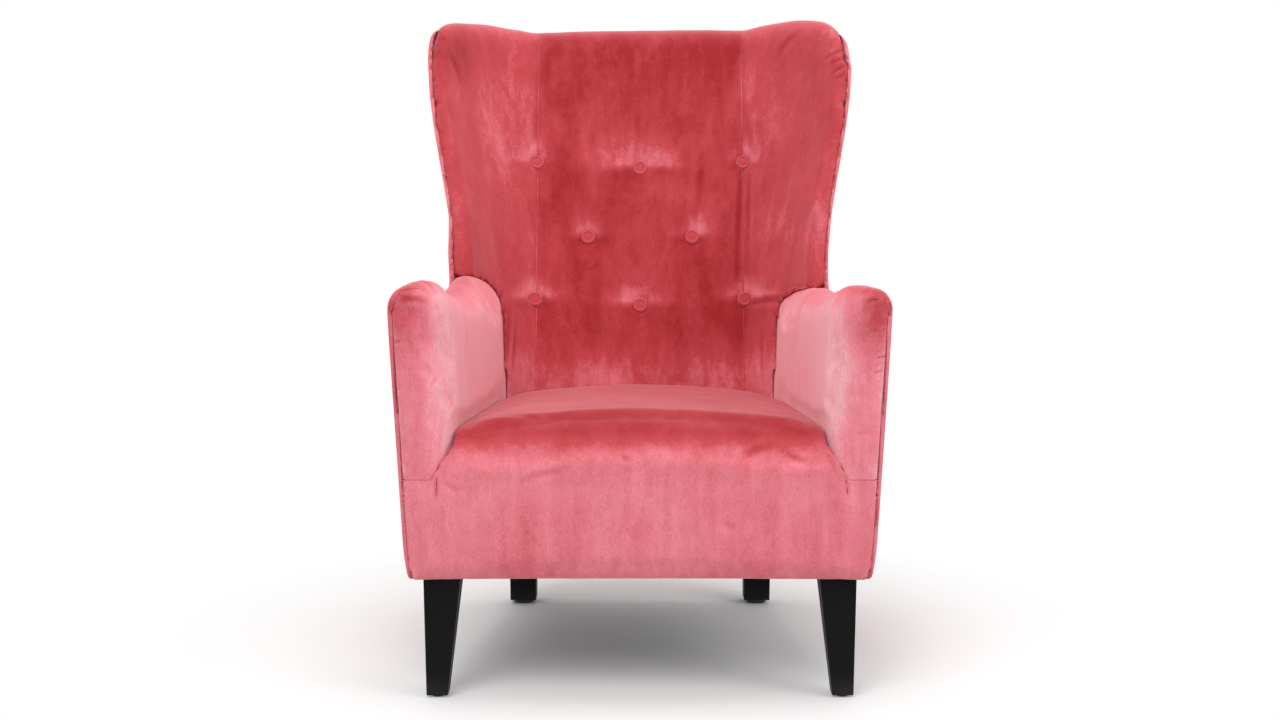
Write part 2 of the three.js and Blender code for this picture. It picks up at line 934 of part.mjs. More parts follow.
function armRail() {
  const y0 = frontRailY;
  const rail = timberBetween([armRailTopHeight - armRailHeight, armRailTopHeight], (z) => {
    const y1 = frontTimberY(z) - gap;
    return [
      [frameInnerX(y0, z), y0],
      [frameInnerX(y0, z) + sideTimber, y0],
      [frameInnerX(y1, z) + sideTimber, y1],
      [frameInnerX(y1, z), y1],
    ];
  });
  return cut(rail, [panelSolid(gap, overrun)]);
}

function backPost() {
  return timberBetween([railTop + gap, frameTop], (z) => {
    const x = rearX(z) - panelThickness - slack;
    const front = frontTimberY(z);
    const rear = rearTimberY(z);
    return [[x - postWidth, front], [x, front], [x, rear], [x - postWidth, rear]];
  });
}

function backRail(bottom, height) {
  return timberBetween([bottom, bottom + height], (z) => {
    const x = rearX(z) - panelThickness - slack - postWidth - gap;
    const front = frontTimberY(z);
    const rear = rearTimberY(z);
    return [[-x, front], [x, front], [x, rear], [-x, rear]];
  });
}

function wingFrame() {
  const outline = wingFrameOutline(armRailTopHeight + gap, (z) => frontTimberY(z) - gap, 0);
  return cut(sideLayer(frameOuterDepth, frameInnerDepth, outline), [wingHole()]);
}

// The opening that lightens the wing frame leans with the back and has round ends.
function wingHole() {
  const frameHeight = wingFrameTop() - armRailTopHeight;
  const wingHoleHeight = frameHeight * wingHoleHeightShare;
  const wingHoleSill = frameHeight * wingHoleSillShare;
  const radius = wingHoleWidth / 2;
  const straight = wingHoleHeight - wingHoleWidth;
  const outline = new THREE.Shape();
  outline.absarc(0, 0, radius, Math.PI, 2 * Math.PI, false);
  outline.absarc(0, straight, radius, 0, Math.PI, false);
  const reach = armHalfWidth + flareWidth;
  const hole = new THREE.ExtrudeGeometry(outline, {
    depth: reach,
    bevelEnabled: false,
    curveSegments: cornerSteps,
  });
  hole.rotateZ(-Math.atan2(rearRake, crestSeam - legHeight));
  hole.applyMatrix4(new THREE.Matrix4().makeBasis(vector(0, 1, 0), vector(0, 0, 1), vector(1, 0, 0)));
  const z = armRailTopHeight + wingHoleSill + radius;
  const y = (wingEdgeY(z) + wingFrameSetback + frontTimberY(z)) / 2;
  return hole.translate(0, y, z);
}

// Seat springs: sinuous wires from the front rail to the rear rail, arched upwards

function springPath() {
  const y0 = frontRailY + springTail / 2;
  const y1 = rearRailY + springTail;
  const seatZ = railTop + gap + springWire / 2;
  const run = y1 - y0 - 2 * springTail;
  const waves = Math.floor(run / springPitch);
  const points = [vector(0, y0, seatZ)];
  const shares = steps(waves * springWaveSteps);
  for (const share of shares) {
    const swing = Math.sin(2 * Math.PI * waves * share) * springWidth / 2;
    const arch = springArch * Math.sin(Math.PI * share);
    points.push(vector(swing, y0 + springTail + run * share, seatZ + arch));
  }
  points.push(vector(0, y1, seatZ));
  return new THREE.CatmullRomCurve3(points, false, 'centripetal');
}

function seatSpring() {
  const path = springPath();
  const outline = new THREE.Shape();
  outline.absarc(0, 0, springWire / 2, 0, 2 * Math.PI, false);
  return new THREE.ExtrudeGeometry(outline, {
    steps: path.points.length + 1,
    curveSegments: springSides,
    bevelEnabled: false,
    extrudePath: path,
  });
}

// Legs and fittings

const frontLegX = frontHalfWidth - legSideInset - frontLegTop / 2;
const frontLegY = frontY + frontLegSetback + frontLegTop / 2;
const rearLegY = rearY(legHeight) - rearLegSetback - rearLegTop / 2;
const rearLegX = outerX(rearLegY, legHeight) - legSideInset - rearLegTop / 2;

const legPlaces = [
  { name: 'front_left', x: -frontLegX, y: frontLegY, front: true },
  { name: 'front_right', x: frontLegX, y: frontLegY, front: true },
  { name: 'rear_left', x: -rearLegX, y: rearLegY, front: false },
  { name: 'rear_right', x: rearLegX, y: rearLegY, front: false },
];

// How far the middle of a leg's foot stands outside the middle of its top.
function footShift(top, foot, towardsFront) {
  return towardsFront ? (top - foot) * frontPlumbShare / 2 : 0;
}

// Square section with small flats on its edges, its outer front corner kept plumb over the taper.
function legSection(width, shift, z) {
  const half = width / 2;
  const flat = half - legEdge;
  const corners = [
    [flat, -half], [half, -flat], [half, flat], [flat, half],
    [-flat, half], [-half, flat], [-half, -flat], [-flat, -half],
  ];
  return corners.map(([x, y]) => vector(x + shift, y - shift, z));
}

function taperedLeg(top, foot, foothold, towardsFront) {
  const shift = footShift(top, foot, towardsFront);
  const topSection = legSection(top, 0, legHeight);
  const footSection = legSection(foot, shift, foothold);
  const boltHole = roundRod(boltDiameter + 2 * gap, legHeight - boltInLeg - gap, legHeight + overrun);
  const nailTop = foothold + glideNailLength + gap;
  const nailHole = roundRod(glideNailDiameter + 2 * gap, foothold - overrun, nailTop);
  nailHole.translate(shift, -shift, 0);
  return cut(loftSolid([footSection, topSection]), [boltHole, nailHole]);
}

function glide(diameter, height) {
  const radius = diameter / 2;
  const nail = glideNailDiameter / 2;
  const seat = height - gap;
  const profile = [
    [0, 0], [radius - glideRound, 0], [radius, glideRound], [radius, seat - glideRound],
    [radius - glideRound, seat], [nail, seat], [nail, seat + glideNailLength], [0, seat + glideNailLength],
  ];
  const geometry = new THREE.LatheGeometry(profile.map(([x, y]) => new THREE.Vector2(x, y)), roundSides);
  return geometry.rotateX(Math.PI / 2);
}

function hangerBolt() {
  return roundRod(boltDiameter, legHeight - boltInLeg, legHeight + boltInBlock);
}

function legPlate() {
  const half = plateWidth / 2;
  const outline = new THREE.Shape();
  outline.moveTo(-half + plateCorner, -half);
  outline.lineTo(half - plateCorner, -half);
  outline.quadraticCurveTo(half, -half, half, -half + plateCorner);
  outline.lineTo(half, half - plateCorner);
  outline.quadraticCurveTo(half, half, half - plateCorner, half);
  outline.lineTo(-half + plateCorner, half);
  outline.quadraticCurveTo(-half, half, -half, half - plateCorner);
  outline.lineTo(-half, -half + plateCorner);
  outline.quadraticCurveTo(-half, -half, -half + plateCorner, -half);
  const screw = half - plateScrewInset;
  for (const [x, y] of [[-screw, -screw], [screw, -screw], [screw, screw], [-screw, screw]]) {
    outline.holes.push(circlePath(x, y, plateScrewHole / 2));
  }
  const plate = new THREE.ExtrudeGeometry(outline, {
    depth: plateThickness,
    bevelEnabled: false,
    curveSegments: plateCornerSteps,
  });
  const boltHole = roundRod(boltDiameter + 2 * gap, -overrun, overrun);
  return cut(plate, [boltHole]).translate(0, 0, legHeight + gap);
}

function circlePath(x, y, radius) {
  const path = new THREE.Path();
  path.absarc(x, y, radius, 0, 2 * Math.PI, true);
  return path;
}

function boltZones() {
  return legPlaces.map((leg) => {
    const zone = roundRod(boltDiameter + 2 * gap, legHeight - overrun, legHeight + boltInBlock + gap);
    return zone.translate(leg.x, leg.y, 0);
  });
}

// Covers below and behind

function dustCover() {
  const y0 = frontRailY;
  const y1 = rearTimberY(legHeight);
  const edge = (y) => panelInnerX(y, legHeight) - slack;
  const top = railBottom - gap;
  const cloth = timberBetween([top - dustCoverThickness, top], () => [
    [-edge(y0), y0], [edge(y0), y0], [edge(y1), y1], [-edge(y1), y1],
  ]);
  const half = plateWidth / 2 + gap;
  const openings = legPlaces.map((leg) => box(
    [leg.x - half, leg.y - half, legHeight - overrun],
    [leg.x + half, leg.y + half, legHeight + overrun],
  ));
  return cut(cloth, openings);
}

function outsideBack() {
  const top = crestSeam;
  const levels = [legHeight, ...steps(outsideBackRows).map((share) => mix(armHeight, top, share))];
  return timberBetween(levels, (z) => {
    const front = rearY(z) - outsideBackThickness;
    const rear = rearY(z);
    const x0 = panelInnerX(front, z) - gap;
    const x1 = panelInnerX(rear, z) - gap;
    return [[-x0, front], [x0, front], [x1, rear], [-x1, rear]];
  });
}

// Materials

function velvet() {
  return new THREE.MeshStandardMaterial({ color: 0xc2505c, roughness: 0.85, metalness: 0 });
}

function buttonVelvet() {
  return new THREE.MeshStandardMaterial({ color: 0xcc6670, roughness: 0.8, metalness: 0 });
}

function timber() {
  return new THREE.MeshStandardMaterial({ color: 0xc8a878, roughness: 0.7, metalness: 0 });
}

function blackLacquer() {
  return new THREE.MeshStandardMaterial({ color: 0x141414, roughness: 0.4, metalness: 0 });
}

function steel() {
  return new THREE.MeshStandardMaterial({ color: 0x9a9da0, roughness: 0.35, metalness: 1 });
}

function blackPlastic() {
  return new THREE.MeshStandardMaterial({ color: 0x1c1c1c, roughness: 0.6, metalness: 0 });
}

function dustCloth() {
  return new THREE.MeshStandardMaterial({ color: 0x26262a, roughness: 0.95, metalness: 0 });
}

// Assembly

const chair = new THREE.Group();

function addPart(name, geometry, material) {
  const mesh = new THREE.Mesh(geometry, material);
  mesh.name = name;
  chair.add(mesh);
  return mesh;
}

function addPair(name, rightGeometry, material) {
  addPart(`${name}_right`, rightGeometry, material);
  addPart(`${name}_left`, mirrored(rightGeometry), material);
}

function addUpholstery() {
  const cover = velvet();
  addPart('seat_cushion', seatCushion(), cover);
  addPart('front_border', frontBorder(), cover);
  addPart('inside_back', insideBack(), cover);
  addPair('wing_pad', wingPad(), cover);
  addPair('arm_pad', armPad(), cover);
  addPair('outside_panel', outsidePanel(), cover);
  addPart('outside_back', outsideBack(), cover);
  addPart('dust_cover', dustCover(), dustCloth());
}

function addButtons() {
  const cover = buttonVelvet();
  buttonPlaces().forEach((place, k) => {
    const button = addPart(`button_${k + 1}`, coveredButton(), cover);
    button.applyMatrix4(buttonMatrix(place));
  });
}

function addFrame() {
  const wood = timber();
  addPart('front_rail', cut(frontRail(), boltZones()), wood);
  addPart('rear_rail', rearRail(), wood);
  addPair('side_rail', sideRail(), wood);
  addPair('corner_block_front', cut(cornerBlock(frontRailY + railThickness, 1), boltZones()), wood);
  addPair('corner_block_rear', cut(cornerBlock(rearRailY, -1), boltZones()), wood);
  addPair('front_post', frontPost(), wood);
  addPair('arm_rail', armRail(), wood);
  addPair('back_post', backPost(), wood);
  addPart('lower_back_rail', backRail(lowerRailBottom, lowerRailHeight), wood);
  addPart('middle_back_rail', backRail(middleRailBottom, middleRailHeight), wood);
  addPart('top_rail', backRail(frameTop - topRailHeight, topRailHeight), wood);
  addPair('wing_frame', wingFrame(), wood);
}

function addSprings() {
  const wire = steel();
  for (let k = 0; k < springCount; k++) {
    const spring = addPart(`seat_spring_${k + 1}`, seatSpring(), wire);
    spring.position.x = (k - (springCount - 1) / 2) * springSpacing;
  }
}

function addLegs() {
  const lacquer = blackLacquer();
  const plastic = blackPlastic();
  const metal = steel();
  for (const leg of legPlaces) {
    const top = leg.front ? frontLegTop : rearLegTop;
    const foot = leg.front ? frontLegFoot : rearLegFoot;
    const glideHeight = leg.front ? frontGlideHeight : rearGlideHeight;
    const glideDiameter = leg.front ? frontGlideDiameter : rearGlideDiameter;
    const nailShift = footShift(top, foot, leg.front);
    const body = taperedLeg(top, foot, glideHeight, leg.front);
    const outward = Math.sign(leg.x);
    const group = new THREE.Group();
    group.position.set(leg.x, leg.y, 0);
    const pieces = [
      ['leg', outward > 0 ? body : mirrored(body), lacquer, 0],
      ['glide', glide(glideDiameter, glideHeight), plastic, nailShift],
      ['hanger_bolt', hangerBolt(), metal, 0],
      ['leg_plate', legPlate(), metal, 0],
    ];
    for (const [name, geometry, material, shift] of pieces) {
      const mesh = new THREE.Mesh(geometry, material);
      mesh.name = `${name}_${leg.name}`;
      mesh.position.set(outward * shift, -shift, 0);
      group.add(mesh);
    }
    chair.add(group);
  }
}

addUpholstery();
addButtons();
addFrame();
addSprings();
addLegs();

export default chair;
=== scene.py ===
"""Upholstery, finishes, floor and lights of the scallop back chair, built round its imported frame."""

import math

import bmesh
import bpy
import numpy as np
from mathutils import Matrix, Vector, noise
from mathutils.bvhtree import BVHTree
from mathutils.kdtree import KDTree


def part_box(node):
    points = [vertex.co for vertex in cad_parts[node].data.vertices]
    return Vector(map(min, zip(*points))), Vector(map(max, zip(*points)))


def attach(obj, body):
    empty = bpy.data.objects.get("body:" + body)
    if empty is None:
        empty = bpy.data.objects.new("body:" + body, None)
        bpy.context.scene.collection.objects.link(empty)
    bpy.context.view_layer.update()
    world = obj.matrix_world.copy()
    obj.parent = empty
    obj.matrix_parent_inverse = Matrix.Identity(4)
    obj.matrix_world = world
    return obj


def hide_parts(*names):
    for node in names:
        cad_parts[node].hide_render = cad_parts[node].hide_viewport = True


bl_info = {
    "name": "Scallop back chair",
    "version": (1, 0, 0),
    "blender": (4, 5, 0),
    "location": "View3D > Sidebar > Chair",
    "description": "Builds the velvet covers, buttons, legs and stage of the scallop back chair",
    "category": "Add Mesh",
}

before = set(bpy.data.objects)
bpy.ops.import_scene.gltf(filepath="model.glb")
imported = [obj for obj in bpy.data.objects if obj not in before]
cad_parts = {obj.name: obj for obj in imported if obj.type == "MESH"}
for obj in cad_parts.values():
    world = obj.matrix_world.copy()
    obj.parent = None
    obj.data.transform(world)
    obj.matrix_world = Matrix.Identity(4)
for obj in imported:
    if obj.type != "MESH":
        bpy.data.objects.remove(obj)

SIDES = (("right", 1), ("left", -1))
CAMERA_PLACE = (0.0, -2.785, 0.741)
CAMERA_TILT = math.radians(5.1)
CAMERA_LENS = 44.55


class ChairSizes(bpy.types.PropertyGroup):
    """Lengths of the covers and seams."""

    back_mesh: bpy.props.FloatProperty(
        name="Back mesh", description="Mesh size of the inside back", default=0.0065, unit="LENGTH")
    arm_mesh: bpy.props.FloatProperty(
        name="Arm mesh", description="Mesh size of an arm pad", default=0.0062, unit="LENGTH")
    seat_mesh: bpy.props.FloatProperty(
        name="Seat mesh", description="Mesh size of the seat", default=0.007, unit="LENGTH")
    panel_mesh: bpy.props.FloatProperty(
        name="Panel mesh", description="Mesh size of the outside covers", default=0.012, unit="LENGTH")
    panel_edge: bpy.props.FloatProperty(
        name="Panel edge", description="Rounding of the outside covers", default=0.0024, unit="LENGTH")
    seam_half_width: bpy.props.FloatProperty(
        name="Seam half width", description="Middle of the back to its side seams", default=0.195, unit="LENGTH")
    # The cords are pale along the back's seams, a painted highlight, and dark along edges and creases, painted shade.
    seam_cord: bpy.props.FloatProperty(
        name="Seam cord", description="Radius of the pressed ridge along a seam", default=0.0006, unit="LENGTH")
    # The crease cords are dark, painted shade at the bottom of the folds.
    crease_width: bpy.props.FloatProperty(
        name="Crease width", description="Half width of a crisp crease", default=0.0006, unit="LENGTH")
    stitch_length: bpy.props.FloatProperty(
        name="Stitch", description="Length of one slip stitch", default=0.0034, unit="LENGTH")
    stitch_step: bpy.props.FloatProperty(
        name="Stitch step", description="Distance between two slip stitches", default=0.0075, unit="LENGTH")


class ChairColours(bpy.types.PropertyGroup):
    """Colours of the velvet, the legs and the floor."""

    # The velvet's ramp from deep to pale also carries the painted light and shade of each cover.
    velvet_deep: bpy.props.FloatVectorProperty(
        name="Deep velvet", description="Pile that is seen end on",
        default=(0.335, 0.018, 0.023), subtype="COLOR")
    velvet_mid: bpy.props.FloatVectorProperty(
        name="Mid velvet", description="Pile that stands half turned",
        default=(0.52, 0.062, 0.076), subtype="COLOR")
    velvet_pale: bpy.props.FloatVectorProperty(
        name="Pale velvet", description="Pile that is brushed towards the light",
        default=(0.84, 0.25, 0.305), subtype="COLOR")
    lacquer: bpy.props.FloatVectorProperty(
        name="Lacquer", description="Black of the legs", default=(0.005, 0.005, 0.0055), subtype="COLOR")
    thread: bpy.props.FloatVectorProperty(
        name="Thread", description="Sewing thread", default=(0.84, 0.38, 0.42), subtype="COLOR")
    floor: bpy.props.FloatVectorProperty(
        name="Floor", description="Plain floor", default=(0.97, 0.97, 0.97), subtype="COLOR")


def sizes():
    return bpy.context.scene.chair_sizes


def colours():
    return bpy.context.scene.chair_colours


# Meshes

def rows_of(elements, field, width, kind=np.float64):
    """One field of the vertices or edges of a mesh, one row for each."""
    flat = np.empty(len(elements) * width, dtype=kind)
    elements.foreach_get(field, flat)
    return flat.reshape(-1, width)


def points_of(mesh):
    return rows_of(mesh.vertices, "co", 3)


def normals_of(mesh):
    return rows_of(mesh.vertices, "normal", 3)


def edges_of(mesh):
    return rows_of(mesh.edges, "vertices", 2, np.int64)


def set_points(mesh, points):
    mesh.vertices.foreach_set("co", points.astype(np.float32).ravel())
    mesh.update()


def write_attribute(mesh, name, values, domain="POINT"):
    layer = mesh.attributes.new(name, "FLOAT", domain)
    layer.data.foreach_set("value", values.astype(np.float32))


def new_piece(name, data):
    """A new object in the scene, with this mesh, lamp or camera."""
    piece = bpy.data.objects.new(name, data)
    bpy.context.scene.collection.objects.link(piece)
    return piece


def piece_from(shape, name):
    """A new object of the edited shape, which ends here."""
    mesh = bpy.data.meshes.new(name)
    shape.to_mesh(mesh)
    shape.free()
    return new_piece(name, mesh)


def discard(piece):
    mesh = piece.data
    bpy.data.objects.remove(piece)
    bpy.data.meshes.remove(mesh)


def smooth_step(values):
    held = np.clip(values, 0, 1)
    return held * held * (3 - 2 * held)


def rising(values, start, reach):
    """0 up to the start, 1 from the reach beyond it."""
    return smooth_step((values - start) / reach)


def falling(values, end, reach):
    """1 up to the reach before the end, 0 beyond the end."""
    return smooth_step((end - values) / reach)


def merged_shape(names):
    """Closed copies of these CAD nodes, to be edited as one shape."""
    shape = bmesh.new()
    for node in names:
        shape.from_mesh(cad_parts[node].data)
    bmesh.ops.remove_doubles(shape, verts=shape.verts, dist=1e-5)
    bmesh.ops.recalc_face_normals(shape, faces=shape.faces)
    shape.normal_update()
    return shape


def applied(piece):
    """Turns the modifiers of the piece into its plain mesh."""
    bpy.context.view_layer.update()
    graph = bpy.context.evaluated_depsgraph_get()
    mesh = bpy.data.meshes.new_from_object(piece.evaluated_get(graph), depsgraph=graph)
    mesh.name = piece.name
    old = piece.data
    piece.modifiers.clear()
    piece.data = mesh
    bpy.data.meshes.remove(old)
    return piece


def even_mesh(piece, size):
    step = piece.modifiers.new("even mesh", "REMESH")
    step.mode = "VOXEL"
    step.voxel_size = size
    step.use_smooth_shade = True
    return applied(piece)


def finer_mesh(piece):
    step = piece.modifiers.new("finer mesh", "SUBSURF")
    step.levels = step.render_levels = 1
    return applied(piece)


def spread(mesh, values, rounds):
    """Evens out values over the mesh, half way to the mean of the neighbours in each round."""
    edges = edges_of(mesh)
    count = np.maximum(np.bincount(edges.ravel(), minlength=len(mesh.vertices)), 1)
    result = values.astype(float).reshape(len(values), -1)
    for _ in range(rounds):
        total = np.zeros_like(result)
        for axis, column in enumerate(result.T):
            for near, far in ((0, 1), (1, 0)):
                total[:, axis] += np.bincount(edges[:, near], column[edges[:, far]], minlength=len(result))
        result = result + 0.5 * (total / count[:, None] - result)
    return result.reshape(values.shape)


def tree_of(meshes):
    """The faces of these meshes, to be searched by place or by ray."""
    vertices, faces = [], []
    for mesh in meshes:
        first = len(vertices)
        vertices.extend(v.co.copy() for v in mesh.vertices)
        faces.extend([first + k for k in f.vertices] for f in mesh.polygons)
    return BVHTree.FromPolygons(vertices, faces)


def tree_of_nodes(names):
    return tree_of(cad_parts[name].data for name in names)


def tree_of_pieces(names):
    return tree_of(bpy.data.objects[name].data for name in names)


def tree_of_places(places):
    tree = KDTree(len(places))
    for number, place in enumerate(places):
        tree.insert(place, number)
    tree.balance()
    return tree


def distances(points, tree, reach):
    """Distance of each point to the tree, up to the reach."""
    found = np.full(len(points), reach)
    for k, point in enumerate(points):
        distance = tree.find_nearest(Vector(point), reach)[3]
        if distance is not None:
            found[k] = distance
    return found


def turbulence(points, scale, seed, stretch=(1, 1, 1)):
    """Smooth noise from -1 to 1 at each point."""
    shift = Vector((seed * 7.1, seed * 3.7, seed * 5.3))
    grown = points * np.array(stretch) * scale
    return np.array([noise.noise(Vector(p) + shift) for p in grown])


# Node trees

def feed(tree, socket, source):
    """Gives an input its value or its link."""
    if isinstance(source, bpy.types.NodeSocket):
        tree.links.new(source, socket)
    else:
        socket.default_value = source


def wired(tree, kind, sources, **settings):
    """A new node of this kind, with its named or numbered inputs fed."""
    node = tree.nodes.new(kind)
    for key, value in settings.items():
        setattr(node, key, value)
    for key, source in sources.items():
        feed(tree, node.inputs[key], source)
    return node


def whole_colour(source):
    """A colour with its fourth value. Sockets and single values are left as they are."""
    plain = isinstance(source, (bpy.types.NodeSocket, int, float))
    return source if plain else (*source[:3], 1.0)


# Finishes

class Shader:
    """A material's node tree, with short names for the nodes that the finishes share."""

    def __init__(self, name):
        self.material = bpy.data.materials.new(name)
        self.material.use_nodes = True
        self.tree = self.material.node_tree
        self.surface = self.tree.nodes["Principled BSDF"]
        self.place = self.node("ShaderNodeTexCoord", {}).outputs["Object"]

    def node(self, kind, sources, **settings):
        return wired(self.tree, kind, sources, **settings)

    def set(self, **values):
        for key, value in values.items():
            feed(self.tree, self.surface.inputs[key.replace("_", " ")], whole_colour(value))

    def noise(self, scale, detail=2.0, stretch=(1, 1, 1), roughness=0.5, distortion=0.0):
        mapping = self.node("ShaderNodeMapping", {"Scale": stretch, "Vector": self.place})
        texture = self.node("ShaderNodeTexNoise", {
            "Vector": mapping.outputs["Vector"],
            "Scale": scale,
            "Detail": detail,
            "Roughness": roughness,
            "Distortion": distortion,
        })
        return texture.outputs["Fac"]

    def sum(self, operation, *values, held=False):
        node = self.node("ShaderNodeMath", dict(enumerate(values)), operation=operation, use_clamp=held)
        return node.outputs[0]

    def centred(self, value, amount):
        """The value less a half, times the amount."""
        return self.sum("MULTIPLY", self.sum("SUBTRACT", value, 0.5), amount)

    def ramp(self, value, stops):
        node = self.node("ShaderNodeValToRGB", {"Fac": value})
        elements = node.color_ramp.elements
        while len(elements) < len(stops):
            elements.new(0.5)
        for element, (position, colour) in zip(elements, stops):
            element.position = position
            element.color = whole_colour(colour)
        return node.outputs["Color"]

    def blend(self, share, first, second):
        sources = {0: share, 6: whole_colour(first), 7: whole_colour(second)}
        return self.node("ShaderNodeMix", sources, data_type="RGBA").outputs[2]

    def bump(self, height, depth, strength):
        node = self.node("ShaderNodeBump", {"Strength": strength, "Distance": depth, "Height": height})
        self.tree.links.new(node.outputs["Normal"], self.surface.inputs["Normal"])


# Each velvet: how pale, how strong its patches and its streaks are, and how strong and how tight the painted sheen on
# its rounded edges is
VELVETS = {
    "velvet_back": (0.27, 1.1, 0.55, 0.0, 1.8),
    "velvet_wing": (0.36, 0.75, 0.5, 0.0, 1.8),
    "velvet_arm": (0.54, 0.7, 0.40, 0.0, 1.8),
    "velvet_seat": (0.42, 0.6, 0.36, -0.3, 1.8),
    "velvet_outside": (0.42, 0.6, 0.40, 0.0, 1.8),
    # The button's rim gets a strong painted sheen, a painted highlight round its edge.
    "velvet_button": (0.44, 0.2, 0.15, 0.9, 1.3),
    # A pale painted highlight along the back's seam ridges.
    "velvet_seam_highlight": (0.60, 1.1, 0.50, 0.0, 1.8),
    # Near black cords of painted shade in seam gaps and creases.
    "velvet_shade": (0.05, 0.5, 0.1, 0.0, 1.8),
}


def velvet(name):
    """Velvet whose pile lies this way and that. A float attribute of each piece holds its painted light and shade and
    says how pale it is.
    """
    found = bpy.data.materials.get(name)
    if found:
        return found
    base, patches, streaks, lift, turn = VELVETS[name]
    colour = colours()
    shader = Shader(name)
    lay = shader.node("ShaderNodeAttribute", {}, attribute_name="nap_and_light")
    nap_and_light = shader.sum("ADD", lay.outputs["Fac"], base)
    for scale, stretch, amount in (
        (8.0, (1, 1, 0.62), patches),
        (15.0, (1, 1, 0.14), 0.8 * streaks),
        (38.0, (1, 1, 0.16), streaks),
        (85.0, (1, 1, 0.7), 0.6 * streaks),
    ):
        nap_and_light = shader.sum("ADD", nap_and_light, shader.centred(shader.noise(scale, 4.0, stretch, 0.6, 0.3), amount))
    grain = shader.noise(520.0, 2.0, (1, 1, 0.45))
    nap_and_light = shader.sum("MULTIPLY", shader.sum("ADD", nap_and_light, shader.centred(grain, 0.35)), 0.8, held=True)
    palest = tuple(0.30 + 0.70 * part for part in colour.velvet_pale)
    tones = ((0.0, colour.velvet_deep), (0.4, colour.velvet_mid), (0.8, colour.velvet_pale), (1.0, palest))
    # The pile colour carries the random patches and streaks and the painted light and shade of the attribute.
    pile = shader.ramp(nap_and_light, tones)
    # Painted sheen: the base colour turns paler where the surface turns away from the view.
    turned = shader.node("ShaderNodeLayerWeight", {"Blend": 0.42})
    edge = shader.sum("MULTIPLY", shader.sum("POWER", turned.outputs["Facing"], turn), 0.55 + lift, held=True)
    shader.set(
        Base_Color=shader.blend(edge, pile, colour.velvet_pale),
        Roughness=0.82,
        Sheen_Weight=0.55,
        Sheen_Roughness=0.38,
        Sheen_Tint=(1.0, 0.62, 0.66),
        Specular_IOR_Level=0.18,
    )
    fibres = shader.noise(150.0, 3.0, (1, 1, 0.5))
    fibres = shader.sum("MULTIPLY_ADD", fibres, 0.6, shader.sum("MULTIPLY", grain, 0.4))
    shader.bump(fibres, 0.0011, 0.55)
    return shader.material


def lacquer():
    """Black satin lacquer over timber: faint grain, dust and rubbed edges at the foot."""
    shader = Shader("leg_lacquer")
    colour = colours()
    grain = shader.noise(90.0, 5.0, (1, 1, 0.06), 0.6, 0.4)
    rub = shader.noise(28.0, 4.0, (1, 1, 0.5), 0.6)
    height = shader.node("ShaderNodeSeparateXYZ", {0: shader.place})
    foot = shader.sum("SUBTRACT", 1.0, shader.sum("DIVIDE", height.outputs["Z"], 0.035), held=True)
    worn = shader.sum("MULTIPLY", foot, shader.sum("MULTIPLY", rub, 0.5), held=True)
    black = shader.blend(shader.centred(grain, 0.6), colour.lacquer, (0.010, 0.009, 0.009))
    shader.set(
        Base_Color=shader.blend(worn, black, (0.07, 0.06, 0.055)),
        Roughness=shader.sum("MULTIPLY_ADD", rub, 0.22, 0.36),
        Coat_Weight=0.03,
        Coat_Roughness=0.3,
        Specular_IOR_Level=0.10,
    )
    shader.bump(shader.sum("MULTIPLY_ADD", rub, 0.5, grain), 0.00025, 0.35)
    return shader.material


def timber():
    """Plain hardwood of the frame, with growth rings and pores along its length."""
    shader = Shader("frame_timber")
    rings = shader.node("ShaderNodeTexWave", {
        "Vector": shader.place,
        "Scale": 14.0,
        "Distortion": 5.0,
        "Detail": 3.0,
    })
    pores = shader.noise(420.0, 2.0, (1, 1, 0.08))
    tones = ((0.0, (0.42, 0.25, 0.12)), (0.6, (0.55, 0.35, 0.18)), (1.0, (0.62, 0.42, 0.23)))
    wood = shader.ramp(rings.outputs["Fac"], tones)
    shader.set(
        Base_Color=shader.blend(shader.sum("MULTIPLY", pores, 0.4), wood, (0.25, 0.14, 0.07)),
        Roughness=shader.sum("MULTIPLY_ADD", pores, 0.25, 0.5),
    )
    shader.bump(pores, 0.0003, 0.5)
    return shader.material


def metal(name, tone, roughness):
    """Steel with a fine drawn grain, small stains and a little dulling."""
    shader = Shader(name)
    stains = shader.noise(160.0, 4.0)
    grain = shader.noise(900.0, 2.0, (1, 0.1, 1))
    dull = tuple(0.45 * part for part in tone)
    shader.set(
        Base_Color=shader.blend(shader.sum("MULTIPLY", stains, 0.6), tone, dull),
        Metallic=1.0,
        Roughness=shader.sum("MULTIPLY_ADD", stains, 0.25, roughness),
    )
    shader.bump(grain, 0.0001, 0.4)
    return shader.material


def plastic():
    """Black moulded plastic of the glides, scuffed where it meets the floor."""
    shader = Shader("glide_plastic")
    scuffs = shader.noise(260.0, 4.0, (1, 0.25, 1), 0.65)
    mould = shader.noise(1400.0, 1.0)
    shader.set(
        Base_Color=shader.blend(shader.sum("MULTIPLY", scuffs, 0.5), (0.012, 0.012, 0.012), (0.07, 0.07, 0.07)),
        Roughness=shader.sum("MULTIPLY_ADD", scuffs, 0.35, 0.4),
    )
    shader.bump(mould, 0.00015, 0.4)
    return shader.material


